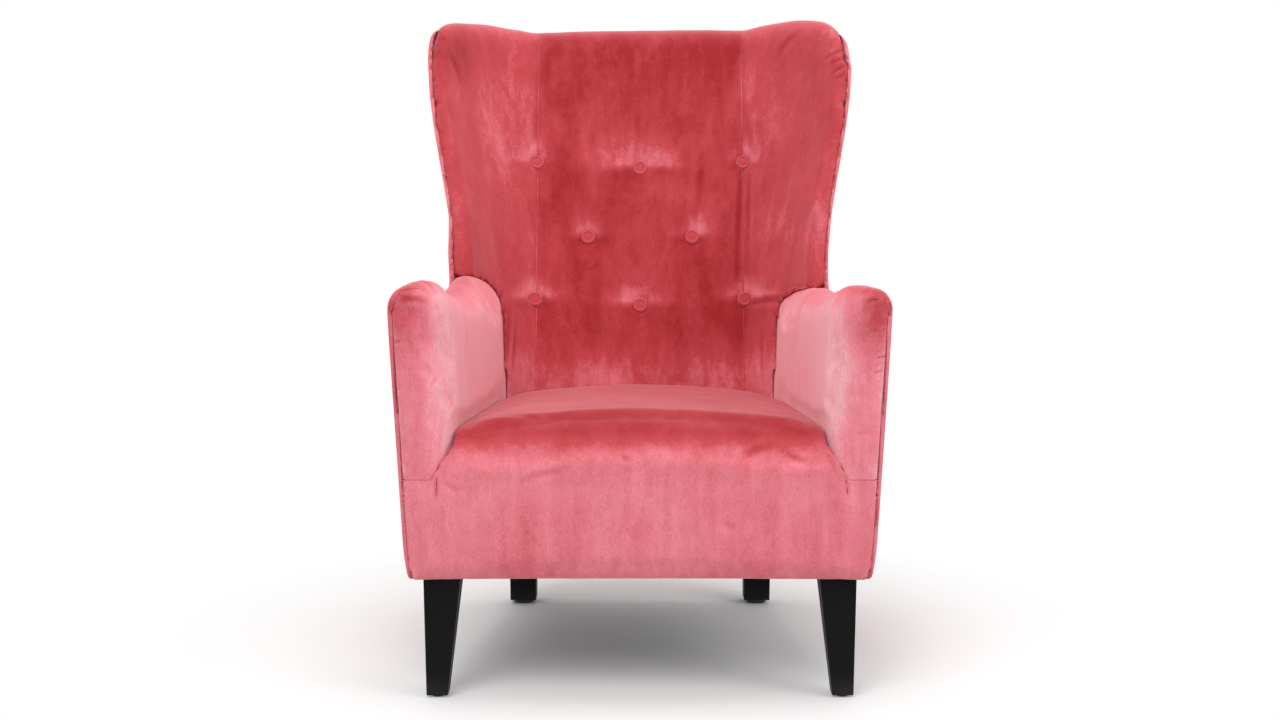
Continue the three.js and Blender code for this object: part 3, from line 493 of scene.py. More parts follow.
def lining():
    """Black bonded cloth under the seat: matted fibres pressed in small dots."""
    shader = Shader("dust_cloth")
    fibres = shader.noise(480.0, 3.0, (1, 0.3, 1), 0.7, 1.2)
    dots = shader.node("ShaderNodeTexVoronoi", {"Vector": shader.place, "Scale": 420.0, "Randomness": 0.15})
    pressed = shader.sum("LESS_THAN", dots.outputs["Distance"], 0.28)
    shader.set(
        Base_Color=shader.blend(fibres, (0.012, 0.012, 0.013), (0.05, 0.05, 0.052)),
        Roughness=shader.sum("MULTIPLY_ADD", fibres, 0.2, 0.72),
        Sheen_Weight=0.15,
    )
    shader.bump(shader.sum("MULTIPLY_ADD", pressed, -0.6, fibres), 0.0004, 0.5)
    return shader.material


def thread():
    """Twisted sewing thread of the velvet's colour."""
    shader = Shader("thread")
    twist = shader.noise(2600.0, 2.0, (1, 1, 0.3))
    shader.set(
        Base_Color=shader.blend(twist, colours().thread, colours().velvet_mid),
        Roughness=0.6,
        Sheen_Weight=0.3,
    )
    shader.bump(twist, 0.0001, 0.6)
    return shader.material


def dress(piece, material):
    """Gives the whole piece one finish and smooth shading."""
    piece.data.materials.clear()
    piece.data.materials.append(material)
    piece.data.polygons.foreach_set("material_index", [0] * len(piece.data.polygons))
    piece.data.polygons.foreach_set("use_smooth", [True] * len(piece.data.polygons))
    piece.data.update()


# Padded forms

# The solids' sharp edges: how an even mesh is drawn onto them and creased, and which of a panel's are bevelled
EDGE_ANGLE = math.radians(38)
EDGE_SPACING = 0.001
EDGE_PULL = 0.62
CREASE_BELOW = 0.3
BUTTON_CLEAR = 0.021
BEVEL_ANGLE = math.radians(35)
# How near other pieces a cover is held, how it sinks there, and how full and uneven it is elsewhere
OPEN_START = 0.002
OPEN_REACH = 0.014
SEAM_SINK = 0.0002
FULLNESS_ROUNDS = 14
CRUSH = 0.0012
# The depth at which a fold gets its full painted shade in its fall and painted highlight on its ridges, and how
# strong they are
FOLD_FULL = 0.002
FOLD_SHADE_AND_HIGHLIGHT = 0.24
# The swelling of the pads over the outside panels' rims
RIM_SPACING = 0.002
RIM_FOOT, RIM_REAR, RIM_TOP = 0.01, 0.12, 0.03
RIM_REACH = 0.030
RIM_COVERED = 0.003
RIM_SHIFT = 0.0038
# The outside panels, the seams of the back and the dust cover
CORNER_ROUND = 0.016
PANEL_INWARD = -0.3
PANEL_SINK = 0.00015
PANEL_WAVE = 0.0011
SEAM_SLIT = 0.00015
GROOVE = (0.0034, 0.0011)
DUST_STEP, DUST_HEM, DUST_SAG = 0.02, 0.03, 0.0004
# How far the body is tucked in at its foot and its right shoulder, and the left wing flares over the arm
FOOT_TUCK = 0.005
SHOULDER_TUCK = 0.0045
WING_FLARE = 0.008
# Heights, depths and widths between which a change of outline comes in: where it starts or ends, and its run
ARM_FRONT_FOOT, ARM_FRONT_BACK, ARM_FRONT_TOP = (0.55, 0.05), (-0.29, 0.07), 0.70
ARM_REAR_START, ARM_REAR_END = (-0.10, 0.10), (0.22, 0.08)
ARM_REAR_FOOT, ARM_REAR_TOP = (0.47, 0.12), (0.78, 0.10)
CREST_FOOT, CREST_BACK = (1.02, 0.05), (0.34, 0.08)
FOOT_TOP, FOOT_SIDE = (0.255, 0.065), (0.25, 0.08)
SHOULDER_FOOT, SHOULDER_SIDE = (1.01, 0.03), (0.33, 0.04)
FLARE_HEIGHT, FLARE_RUN, FLARE_SIDE = 0.67, 0.08, (0.30, 0.05)
FLARE_START, FLARE_END = (-0.15, 0.08), (0.30, 0.10)
# How far the arms' tops rise at each distance from the middle: over the front, and at the rear against the wing
ARM_RISE = {
    "right": (
        ((0.265, 0.0), (0.290, 0.0055), (0.305, 0.0065), (0.318, 0.003), (0.328, 0.0005), (0.340, -0.0005),
         (0.350, 0.001), (0.360, 0.004), (0.370, 0.0075), (0.385, 0.010)),
        ((0.225, 0.0), (0.240, -0.008), (0.254, -0.0235), (0.273, -0.033), (0.292, -0.028), (0.311, -0.018),
         (0.327, -0.011), (0.342, -0.006), (0.360, 0.0)),
    ),
    "left": (
        ((0.265, 0.0), (0.289, 0.0095), (0.305, 0.013), (0.318, 0.010), (0.330, 0.0075), (0.342, 0.0065),
         (0.350, 0.006), (0.360, 0.007), (0.370, 0.0095), (0.385, 0.011)),
        ((0.235, 0.0), (0.255, -0.016), (0.268, -0.016), (0.284, -0.010), (0.300, -0.002), (0.320, 0.007),
         (0.340, 0.010), (0.352, 0.005), (0.362, 0.0)),
    ),
}
# How far the crest rises, from the left edge to the right one
CREST_RISE = (
    (-0.390, 0.010), (-0.378, 0.014), (-0.371, 0.0155), (-0.364, 0.0100), (-0.357, 0.0073), (-0.348, 0.0064),
    (-0.335, 0.0058), (-0.318, 0.0062), (-0.302, 0.0080), (-0.288, 0.0077), (-0.274, 0.0068), (-0.260, 0.0052),
    (-0.232, 0.0037), (-0.215, 0.0012), (-0.200, 0.0), (-0.185, 0.0014), (-0.160, 0.0020), (-0.100, 0.0045),
    (0.0, 0.0070), (0.100, 0.0070), (0.155, 0.0058), (0.200, 0.0052), (0.210, 0.0064), (0.225, 0.0100),
    (0.240, 0.0123), (0.270, 0.0150), (0.297, 0.0160), (0.311, 0.0143), (0.325, 0.0122), (0.339, 0.0098),
    (0.353, 0.0069), (0.360, 0.0056), (0.366, 0.0070), (0.372, 0.0095), (0.380, 0.004), (0.390, -0.003))


def open_share(piece, own):
    """0 where the piece lies against another one, 1 where it's free."""
    others = [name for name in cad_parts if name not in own]
    tree = tree_of_nodes(others)
    near = distances(points_of(piece.data), tree, OPEN_START + OPEN_REACH)
    return smooth_step((near - OPEN_START) / OPEN_REACH)


# Velvet over foam, pressed out from inside
CLOTH = {
    "quality": 2,
    "mass": 0.3,
    "tension_stiffness": 18,
    "compression_stiffness": 14,
    "shear_stiffness": 6,
    "bending_stiffness": 0.35,
    "air_damping": 2.0,
    "use_pressure": True,
    "uniform_pressure_force": 4.0,
    "vertex_group_mass": "held",
}
CLOTH_FRAMES = 20
HELD_LEVELS = 10


def fill_out(piece, free, slack_cloth, cap):
    """Presses the cover out from inside as a stuffed cloth, held where it lies against its neighbours."""
    start = points_of(piece.data)
    group = piece.vertex_groups.new(name="held")
    levels = np.round((1 - free) * HELD_LEVELS)
    for level in range(HELD_LEVELS + 1):
        group.add(np.nonzero(levels == level)[0].tolist(), level / HELD_LEVELS, "REPLACE")
    step = piece.modifiers.new("stuffing", "CLOTH")
    for setting, value in CLOTH.items():
        setattr(step.settings, setting, value)
    step.settings.effector_weights.gravity = 0
    step.settings.shrink_min = -slack_cloth
    step.collision_settings.use_collision = False
    scene = bpy.context.scene
    for moment in range(1, CLOTH_FRAMES + 1):
        scene.frame_set(moment)
    applied(piece)
    scene.frame_set(1)
    piece.vertex_groups.clear()
    move = points_of(piece.data) - start
    length = np.linalg.norm(move, axis=1)
    move *= (np.minimum(length, cap) / np.maximum(length, 1e-9) * free)[:, None]
    set_points(piece.data, start + spread(piece.data, move, 1))


def along_path(points, path):
    """Distance of each point from the path, and how far along the path it lies, from 0 to 1."""
    path = np.array(path, dtype=float)
    lengths = np.linalg.norm(np.diff(path, axis=0), axis=1)
    total = lengths.sum()
    best = np.full(len(points), 1e9)
    place = np.zeros(len(points))
    passed = 0.0
    for start, end, length in zip(path[:-1], path[1:], lengths):
        direction = (end - start) / length
        share = np.clip((points - start) @ direction, 0, length)
        gap = np.linalg.norm(points - start - share[:, None] * direction, axis=1)
        closer = gap < best
        best[closer] = gap[closer]
        place[closer] = (passed + share[closer]) / total
        passed += length
    return best, place


def fold(points, normals, path, width, depth):
    """A pulled fold: a fall along the path between two soft ridges, running out at both ends. Returns its height."""
    gap, place = along_path(points, path)
    near = gap < 4 * width
    run = np.sqrt(np.sin(math.pi * np.clip(place[near], 0.02, 0.98)))
    ratio = gap[near] / width
    height = np.zeros(len(points))
    height[near] = run * (-np.exp(-(ratio ** 2)) + 0.45 * np.exp(-((ratio - 1.9) ** 2)))
    points += normals * (depth * height)[:, None]
    return height


def crushed(points, normals, free, seed):
    """The slight unevenness of stuffing under a drawn cover."""
    rough = turbulence(points, 9.0, seed) + 0.5 * turbulence(points, 21.0, seed + 1, (1, 1, 0.6))
    return points + normals * (CRUSH * free * rough)[:, None]


def shaped(points, nodes):
    """Gives the arms' tops, the crest, the wings and the foot of the body their uneven outline."""
    across, depth, height = np.abs(points[:, 0]), points[:, 1], points[:, 2]
    right = points[:, 0] > 0
    result = points.copy()
    front = rising(height, *ARM_FRONT_FOOT) * falling(depth, *ARM_FRONT_BACK) * (height < ARM_FRONT_TOP)
    rear = rising(depth, *ARM_REAR_START) * falling(depth, *ARM_REAR_END)
    rear *= rising(height, *ARM_REAR_FOOT) * falling(height, *ARM_REAR_TOP)
    for part, front_rise, rear_rise in ((right, *ARM_RISE["right"]), (~right, *ARM_RISE["left"])):
        rise = front * np.interp(across, *zip(*front_rise)) + rear * np.interp(across, *zip(*rear_rise))
        result[part, 2] += rise[part]
    if nodes[0] != "outside_back":
        ahead = 1.0 if "inside_back" in nodes else falling(depth, *CREST_BACK)
        result[:, 2] += np.interp(points[:, 0], *zip(*CREST_RISE)) * rising(height, *CREST_FOOT) * ahead
    foot = np.clip((FOOT_TOP[0] - height) / FOOT_TOP[1], 0, 1) ** 2 * rising(across, *FOOT_SIDE)
    shoulder = rising(height, *SHOULDER_FOOT) * rising(across, *SHOULDER_SIDE)
    flare = smooth_step(1 - np.abs(height - FLARE_HEIGHT) / FLARE_RUN) * rising(across, *FLARE_SIDE)
    flare *= rising(depth, *FLARE_START) * falling(depth, *FLARE_END)
    inwards = FOOT_TUCK * foot + SHOULDER_TUCK * shoulder * right - WING_FLARE * flare * ~right
    result[:, 0] -= inwards * np.sign(points[:, 0])
    return result


def edge_samples(shape, spacing):
    """Places along the sharp edges of a solid, leaving out the button pockets."""
    buttons = [Vector(place) for place in button_places()]
    places = []
    for edge in shape.edges:
        if edge.calc_face_angle(0) < EDGE_ANGLE:
            continue
        start, end = (vertex.co for vertex in edge.verts)
        if min((start - button).length for button in buttons) < BUTTON_CLEAR:
            continue
        count = max(1, int((end - start).length / spacing))
        places.extend(start.lerp(end, k / count) for k in range(count + 1))
    return places


def drawn_onto(piece, nodes, size):
    """Lays the even mesh back onto its solid. Points near a sharp edge go right onto it: those are returned."""
    shape = merged_shape(nodes)
    skin = BVHTree.FromBMesh(shape)
    edges = tree_of_places(edge_samples(shape, EDGE_SPACING))
    shape.free()
    points = points_of(piece.data)
    on_edge = np.zeros(len(points), dtype=bool)
    for number, point in enumerate(points):
        place = skin.find_nearest(Vector(point), 2 * size)[0]
        if place is None:
            continue
        corner, _, away = edges.find(place)
        if away < EDGE_PULL * size:
            place = corner
            on_edge[number] = True
        points[number] = place
    set_points(piece.data, points)
    return on_edge


def creased(mesh, on_edge):
    """Keeps the edges between these points as crisp folds when the mesh is made finer."""
    write_attribute(mesh, "crease_edge", on_edge[edges_of(mesh)].all(axis=1), "EDGE")


def stuffed_form(name, nodes, size, rounds, cap, slack_cloth, seed):
    """The cover of these CAD nodes as one crowned cushion, its edges drawn in where it meets its neighbours."""
    piece = even_mesh(piece_from(merged_shape(nodes), name), size)
    on_edge = drawn_onto(piece, nodes, size)
    free = open_share(piece, nodes)
    points, normals = points_of(piece.data), normals_of(piece.data)
    smooth = spread(piece.data, points, rounds)
    lost = ((points - smooth) * normals).sum(axis=1)
    smooth += normals * spread(piece.data, lost, FULLNESS_ROUNDS)[:, None]
    set_points(piece.data, shaped(points + (smooth - points) * free[:, None], nodes))
    points = points_of(piece.data)
    set_points(piece.data, points - normals_of(piece.data) * (SEAM_SINK * (1 - free))[:, None])
    fill_out(piece, free, slack_cloth, cap)
    set_points(piece.data, crushed(points_of(piece.data), normals_of(piece.data), free, seed))
    creased(piece.data, on_edge & (free < CREASE_BELOW))
    return finer_mesh(piece)


def slice_of(piece, name, planes):
    """A closed copy of what lies behind each plane, given as (place, outward direction)."""
    shape = bmesh.new()
    shape.from_mesh(piece.data)
    for place, outward in planes:
        whole = shape.verts[:] + shape.edges[:] + shape.faces[:]
        bmesh.ops.bisect_plane(shape, geom=whole, plane_co=place, plane_no=outward, clear_outer=True)
        rim = [edge for edge in shape.edges if edge.is_boundary]
        for edge in rim:
            edge.smooth = False
        bmesh.ops.holes_fill(shape, edges=rim, sides=0)
    bmesh.ops.recalc_face_normals(shape, faces=shape.faces)
    return piece_from(shape, name)


def cut_in_rows(shape, axis, step):
    """Cuts the shape across this axis at each step."""
    places = [vertex.co[axis] for vertex in shape.verts]
    direction = Vector([number == axis for number in range(3)])
    for place in np.arange(min(places) + step, max(places), step):
        whole = shape.verts[:] + shape.edges[:] + shape.faces[:]
        bmesh.ops.bisect_plane(shape, geom=whole, dist=1e-6, plane_co=direction * place, plane_no=direction)


def gridded_copy(nodes, name, step, edge):
    """A copy of these CAD nodes with rounded edges, cut into a fine grid across the depth and the height."""
    shape = merged_shape(nodes)
    corners = [e for e in shape.edges if e.calc_face_angle(0) > BEVEL_ANGLE]
    bmesh.ops.bevel(shape, geom=corners, offset=edge, segments=3, profile=0.6, affect="EDGES", clamp_overlap=True)
    for axis in (1, 2):
        cut_in_rows(shape, axis, step)
    bmesh.ops.remove_doubles(shape, verts=shape.verts, dist=2e-5)
    bmesh.ops.recalc_face_normals(shape, faces=shape.faces)
    return piece_from(shape, name)


def pressed_folds(piece, folds):
    """Presses each fold where its path lies nearest to the cover. Returns the painted shade in each fall and the
    painted highlight on its ridges.
    """
    points = points_of(piece.data)
    normals = normals_of(piece.data)
    turned = np.zeros(len(points))
    tree = tree_of([piece.data])
    for path, width, depth in folds:
        laid = [tree.find_nearest(Vector(place))[0] for place in path]
        # Painted shade in the fold's fall, painted highlight on its ridges.
        turned += min(depth / FOLD_FULL, 1.0) * fold(points, normals, laid, width, depth)
    set_points(piece.data, points)
    return FOLD_SHADE_AND_HIGHLIGHT * turned


def settle(piece, material, nodes):
    """Gives the cover its finish and lets it stand for its CAD nodes."""
    dress(piece, material)
    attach(piece, "root")
    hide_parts(*nodes)


def rim_tree(side):
    """The front and top edges of an outside panel."""
    shape = merged_shape([f"outside_panel_{side}"])
    low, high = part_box(f"outside_panel_{side}")
    places = [
        place for place in edge_samples(shape, RIM_SPACING)
        if place.z > low.z + RIM_FOOT and (place.y < high.y - RIM_REAR or place.z > high.z - RIM_TOP)
    ]
    shape.free()
    return tree_of_places(places)


def rim_shift(points, chosen, side, sign):
    """Moves the chosen points outwards near the rim of the outside panel, where the pad swells over its edge."""
    tree = rim_tree(side)
    skin = tree_of_nodes([f"outside_panel_{side}"])
    for number in np.nonzero(chosen)[0]:
        x, y, z = points[number]
        away = tree.find(Vector((x, y, z)))[2]
        share = max(0.0, 1.0 - away / RIM_REACH)
        outer = skin.ray_cast(Vector((sign, y, z)), Vector((-sign, 0, 0)))[0]
        room = 0.0 if outer is None else max(0.0, abs(outer.x) - abs(x) - RIM_COVERED)
        points[number, 0] += sign * min(RIM_SHIFT * share * share * (3 - 2 * share), room)
    return points


def swollen_rims(piece, sides):
    """Lets a pad swell outwards along the rims of these outside panels."""
    points = points_of(piece.data)
    for side, sign in sides:
        skin = tree_of_nodes([f"outside_panel_{side}"])
        near = distances(points, skin, 2 * RIM_COVERED) < RIM_COVERED
        points = rim_shift(points, near, side, sign)
    set_points(piece.data, points)


# Painted light and shade on the covers, by place and by the way that the cover faces

BUTTON_NAMES = [f"button_{k}" for k in range(1, 9)]


def button_places():
    boxes = [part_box(name) for name in BUTTON_NAMES]
    return [tuple((low + high) / 2 for low, high in zip(*corners)) for corners in boxes]


# Half width and height of the painted light over a button, and its strength: middle and outer buttons of a row
TUFT_SHADING = {
    "top": ((0.062, 0.066, 0.50), (0.030, 0.040, 0.38)),
    "middle": ((0.030, 0.034, 0.46), (0.030, 0.034, 0.46)),
    "bottom": ((0.044, 0.040, 0.46), (0.040, 0.040, 0.46)),
}
TOP_ROW, MIDDLE_ROW, OUTER_BUTTON = 0.78, 0.65, 0.05
TUFT_LIGHT_PLATEAU = 1.5
TUFT_SHADING_TURN = 0.020
SHADE_DEPTH, SHADE_WIDTH, SHADE_STRENGTH = 0.060, 1.5, 0.40


def painted_tuft_shading(points, centre, wide, high, strength):
    """Painted light over a button's dimple and painted shade below it, with a quick turn at the button's height."""
    across = (points[:, 0] - centre[0]) / wide
    up = points[:, 2] - centre[2]
    above, below = np.maximum(up, 0), np.maximum(-up, 0)
    over = np.minimum(TUFT_LIGHT_PLATEAU * np.exp(-((above / high) ** 2)) * np.exp(-(across ** 2)), 1)
    over *= smooth_step(up / TUFT_SHADING_TURN + 0.45)
    under = smooth_step(-up / TUFT_SHADING_TURN + 0.45) * np.exp(-below / SHADE_DEPTH)
    under *= np.exp(-((across / SHADE_WIDTH) ** 2))
    return strength * over - SHADE_STRENGTH * strength * under


# Paler and darker parts of the back: how much, then what bounds each, as a measure, its way, its start and its run
BACK_PARTS = (
    (0.42, (("height", falling, 0.55, 0.10),)),
    (0.11, (("across", rising, 0.193, 0.012), ("height", rising, 0.60, 0.08))),
    (0.05, (("right", rising, 0.23, 0.03), ("height", falling, 0.98, 0.08))),
    (-0.12, (("across", rising, 0.27, 0.05), ("height", rising, 0.98, 0.05))),
    (-0.13, (("height", rising, 0.93, 0.09), ("across", falling, 0.20, 0.03))),
)


def back_nap_and_light(points, normals):
    """Painted light over the buttons and painted shade below them, a little painted light where the back faces up,
    and the paler and darker parts of the back and wings.
    """
    # Painted light where the cover faces up.
    nap_and_light = 0.06 * np.clip(normals[:, 2] - 0.25, 0, 1) - 0.04
    uneven = 1 + 0.35 * turbulence(points, 16.0, 51, (1, 1, 0.7))
    for centre in button_places():
        row = "top" if centre[2] > TOP_ROW else "middle" if centre[2] > MIDDLE_ROW else "bottom"
        nap_and_light += painted_tuft_shading(points, centre, *TUFT_SHADING[row][abs(centre[0]) > OUTER_BUTTON]) * uneven
    measures = {"right": points[:, 0], "across": np.abs(points[:, 0]), "height": points[:, 2]}
    for amount, bounds in BACK_PARTS:
        nap_and_light += amount * math.prod(way(measures[name], start, run) for name, way, start, run in bounds)
    return nap_and_light


def facing_light(points, normals, front, top, side):
    """Painted light: paleness of a cover by the way that it faces."""
    ahead = np.clip(-normals[:, 1], 0, 1) ** 2
    up = np.clip(normals[:, 2], 0, 1) ** 2
    across = np.clip(1 - ahead - up, 0, 1)
    return ahead * front + up * top + across * side


# Painted light and shade of the seat along the run of its cloth, from the border's foot over the roll to the rear: a
# pale front, painted shade over the roll and a painted highlight on the crown
SEAT_PAINTED_LIGHT = (
    (-0.28, 0.38), (-0.12, 0.48), (-0.07, 0.38), (-0.045, 0.26), (-0.022, 0.04), (0.0, -0.26), (0.045, -0.38),
    (0.08, -0.32), (0.14, -0.20), (0.20, -0.18), (0.30, -0.28), (0.50, -0.36))
SEAT_FRONT, SEAT_TOP = -0.41, 0.44


def seat_painted_light(points, normals):
    """Painted light and shade along the run of the cloth: up the front, over the roll and back."""
    run = (points[:, 1] - SEAT_FRONT) - (SEAT_TOP - points[:, 2])
    wander = 0.010 * turbulence(points, 9.0, 27, (1, 0.4, 0.4))
    return np.interp(run + wander, *zip(*SEAT_PAINTED_LIGHT))


# The painted shade round the top of an arm's front: its height, its reach, and where it starts
ROLL_SHADE_HEIGHT, ROLL_SHADE_REACH, ROLL_SHADE_SIDE, ROLL_SHADE_BACK = 0.595, 0.055, (0.285, 0.08), (-0.33, 0.04)


def arm_painted_light(points, normals, sign):
    """Painted light: the right arm is painted paler than the left one, as if lit from the left, and both get painted
    shade round the top of the front.
    """
    # The right arm's extra paleness is painted light.
    lift = 0.07 * (1 + sign)
    nap_and_light = facing_light(points, normals, 0.30, 0.0, 0.72 - lift) + lift
    roll_shade = np.exp(-(((points[:, 2] - ROLL_SHADE_HEIGHT) / ROLL_SHADE_REACH) ** 2))
    roll_shade *= rising(np.abs(points[:, 0]), *ROLL_SHADE_SIDE) * falling(points[:, 1], *ROLL_SHADE_BACK)
    return nap_and_light - (0.36 + 0.14 * sign) * roll_shade


# Seams and stitches, grown along their paths

def path_piece(name, paths):
    """Loose lines through the points of each path."""
    vertices, edges = [], []
    for path in paths:
        first = len(vertices)
        vertices.extend(tuple(place) for place in path)
        edges.extend((first + k, first + k + 1) for k in range(len(path) - 1))
    mesh = bpy.data.meshes.new(name)
    mesh.from_pydata(vertices, edges, [])
    return new_piece(name, mesh)


def new_tree(name, labels):
    """A geometry tree with named inputs. Returns the tree, its input and output, and its inputs' identifiers."""
    tree = bpy.data.node_groups.new(name, "GeometryNodeTree")
    tree.interface.new_socket(name="Path", in_out="INPUT", socket_type="NodeSocketGeometry")
    tree.interface.new_socket(name="Geometry", in_out="OUTPUT", socket_type="NodeSocketGeometry")
    identifiers = {}
    for label in labels:
        socket = tree.interface.new_socket(name=label, in_out="INPUT", socket_type="NodeSocketFloat")
        identifiers[label] = socket.identifier
    return tree, tree.nodes.new("NodeGroupInput").outputs, tree.nodes.new("NodeGroupOutput"), identifiers


def finish_tree(tree, source, output, material):
    """Ends the tree with real geometry of this material."""
    real = wired(tree, "GeometryNodeRealizeInstances", {0: source})
    paint = wired(tree, "GeometryNodeSetMaterial", {0: real.outputs[0], "Material": material})
    tree.links.new(paint.outputs[0], output.inputs[0])


def resampled(tree, inputs):
    """The path as a curve with points one step apart."""
    curve = wired(tree, "GeometryNodeMeshToCurve", {0: inputs["Path"]})
    sources = {"Curve": curve.outputs[0], "Length": inputs["Step"]}
    return wired(tree, "GeometryNodeResampleCurve", sources, mode="LENGTH").outputs[0]


def seam_tree(name, material):
    """A pressed ridge of cloth: a thin roll whose radius varies a little."""
    tree, inputs, output, identifiers = new_tree(name, ("Radius", "Step", "Wander"))
    line = resampled(tree, inputs)
    least, most = (
        wired(tree, "ShaderNodeMath", {0: 1.0, 1: inputs["Wander"]}, operation=operation).outputs[0]
        for operation in ("SUBTRACT", "ADD"))
    uneven = wired(tree, "FunctionNodeRandomValue", {2: least, 3: most, "Seed": 11}, data_type="FLOAT")
    sources = {0: uneven.outputs[1], 1: inputs["Radius"]}
    size = wired(tree, "ShaderNodeMath", sources, operation="MULTIPLY").outputs[0]
    ring = wired(tree, "GeometryNodeCurvePrimitiveCircle", {"Resolution": 8, "Radius": 1.0})
    sized = wired(tree, "GeometryNodeSetCurveRadius", {"Curve": line, "Radius": size})
    roll = wired(tree, "GeometryNodeCurveToMesh", {
        "Curve": sized.outputs[0],
        "Profile Curve": ring.outputs[0],
        "Scale": size,
        "Fill Caps": True,
    })
    finish_tree(tree, roll.outputs[0], output, material)
    return tree, identifiers


def stitch_tree(material):
    """Slip stitches: short flattened threads that lie along the path, each turned a little."""
    tree, inputs, output, identifiers = new_tree("slip_stitches", ("Step", "Stitch", "Thread"))
    line = resampled(tree, inputs)
    bead = wired(tree, "GeometryNodeMeshUVSphere", {"Segments": 6, "Rings": 5, "Radius": 1.0})
    half = wired(tree, "ShaderNodeMath", {0: inputs["Stitch"], 1: 0.5}, operation="MULTIPLY")
    sources = {0: inputs["Thread"], 1: inputs["Thread"], 2: half.outputs[0]}
    size = wired(tree, "ShaderNodeCombineXYZ", sources)
    along = wired(tree, "GeometryNodeInputTangent", {})
    turn = wired(tree, "FunctionNodeAlignRotationToVector", {"Vector": along.outputs[0]}, axis="Z")
    sway = {0: (-0.16, -0.16, 0.0), 1: (0.16, 0.16, 0.0), "Seed": 5}
    swayed = wired(tree, "FunctionNodeRandomValue", sway, data_type="FLOAT_VECTOR")
    placed = wired(tree, "GeometryNodeInstanceOnPoints", {
        "Points": line,
        "Instance": bead.outputs["Mesh"],
        "Rotation": turn.outputs[0],
        "Scale": size.outputs[0],
    })
    sources = {"Instances": placed.outputs[0], "Rotation": swayed.outputs[0]}
    turned = wired(tree, "GeometryNodeRotateInstances", sources)
    finish_tree(tree, turned.outputs[0], output, material)
    return tree, identifiers


def grown(name, paths, made, **lengths):
    """The geometry of a made tree along the paths, as one plain mesh."""
    tree, identifiers = made
    piece = path_piece(name, paths)
    step = piece.modifiers.new("grown", "NODES")
    step.node_group = tree
    for label, value in lengths.items():
        step[identifiers[label]] = value
    applied(piece)
    piece.data.polygons.foreach_set("use_smooth", [True] * len(piece.data.polygons))
    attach(piece, "root")


# Places on the finished covers

def seen_from_front(tree, x, z, lift):
    """The place that shows at this width and height, lifted off the cover towards the viewer."""
    place = tree.ray_cast(Vector((x, -1.0, z)), Vector((0, 1, 0)))[0]
    return None if place is None else place + Vector((0, -lift, 0))


def kept(places):
    """The places without the gaps where nothing was found."""
    return [place for place in places if place is not None]


def upright_line(tree, x, heights, lift):
    """The line that shows at this width, lifted off the cover."""
    return kept(seen_from_front(tree, x, z, lift) for z in heights)


# Pulled folds and small gathers: the points of each path, then its width and its depth

BACK_FOLDS = (
    (((0.192, 0.241, 0.829), (0.189, 0.225, 0.795), (0.184, 0.199, 0.701), (0.182, 0.185, 0.626)), 0.0045, 0.0022),
    (((0.206, 0.229, 0.820), (0.204, 0.213, 0.767), (0.203, 0.203, 0.72), (0.202, 0.190, 0.62)), 0.0045, 0.0018),
    (((0.205, 0.178, 0.582), (0.216, 0.167, 0.586), (0.233, 0.145, 0.590), (0.256, 0.110, 0.593)), 0.0065, 0.0026),
    (((0.120, 0.243, 0.871), (0.113, 0.228, 0.814), (0.108, 0.217, 0.767), (0.102, 0.214, 0.727)), 0.007, 0.0014),
    (((-0.087, 0.254, 0.909), (-0.091, 0.243, 0.871), (-0.087, 0.235, 0.84)), 0.008, 0.0010),
    (((-0.094, 0.187, 0.643), (-0.086, 0.188, 0.649), (-0.079, 0.19, 0.656)), 0.0038, 0.0012),
    (((-0.238, 0.126, 0.574), (-0.241, 0.109, 0.529), (-0.243, 0.09, 0.470)), 0.0055, 0.0018),
    (((-0.226, 0.136, 0.558), (-0.229, 0.118, 0.51), (-0.230, 0.104, 0.461)), 0.005, 0.0014),
    (((0.225, 0.136, 0.536), (0.225, 0.123, 0.482), (0.224, 0.112, 0.446)), 0.005, 0.0014),
    (((0.196, 0.215, 0.866), (0.199, 0.235, 0.90), (0.197, 0.26, 0.96)), 0.007, 0.0012),
    (((-0.196, 0.215, 0.866), (-0.193, 0.235, 0.90), (-0.196, 0.26, 0.95)), 0.007, 0.0009),
    (((0.374, 0.162, 1.050), (0.363, 0.156, 1.045), (0.349, 0.165, 1.039), (0.34, 0.176, 1.031)), 0.003, 0.0014),
    (((0.375, 0.153, 1.034), (0.364, 0.15, 1.03), (0.35, 0.157, 1.022)), 0.003, 0.0014),
    (((0.375, 0.147, 1.019), (0.365, 0.145, 1.015), (0.353, 0.149, 1.006)), 0.003, 0.0014),
    (((0.374, 0.140, 1.004), (0.367, 0.141, 1.0), (0.356, 0.142, 0.993)), 0.003, 0.0012),
    (((0.301, 0.242, 1.084), (0.287, 0.25, 1.077), (0.271, 0.257, 1.063), (0.258, 0.26, 1.041)), 0.007, 0.0012),
    (((-0.330, 0.15, 1.040), (-0.322, 0.16, 1.020), (-0.318, 0.16, 0.990)), 0.008, 0.0012),
)

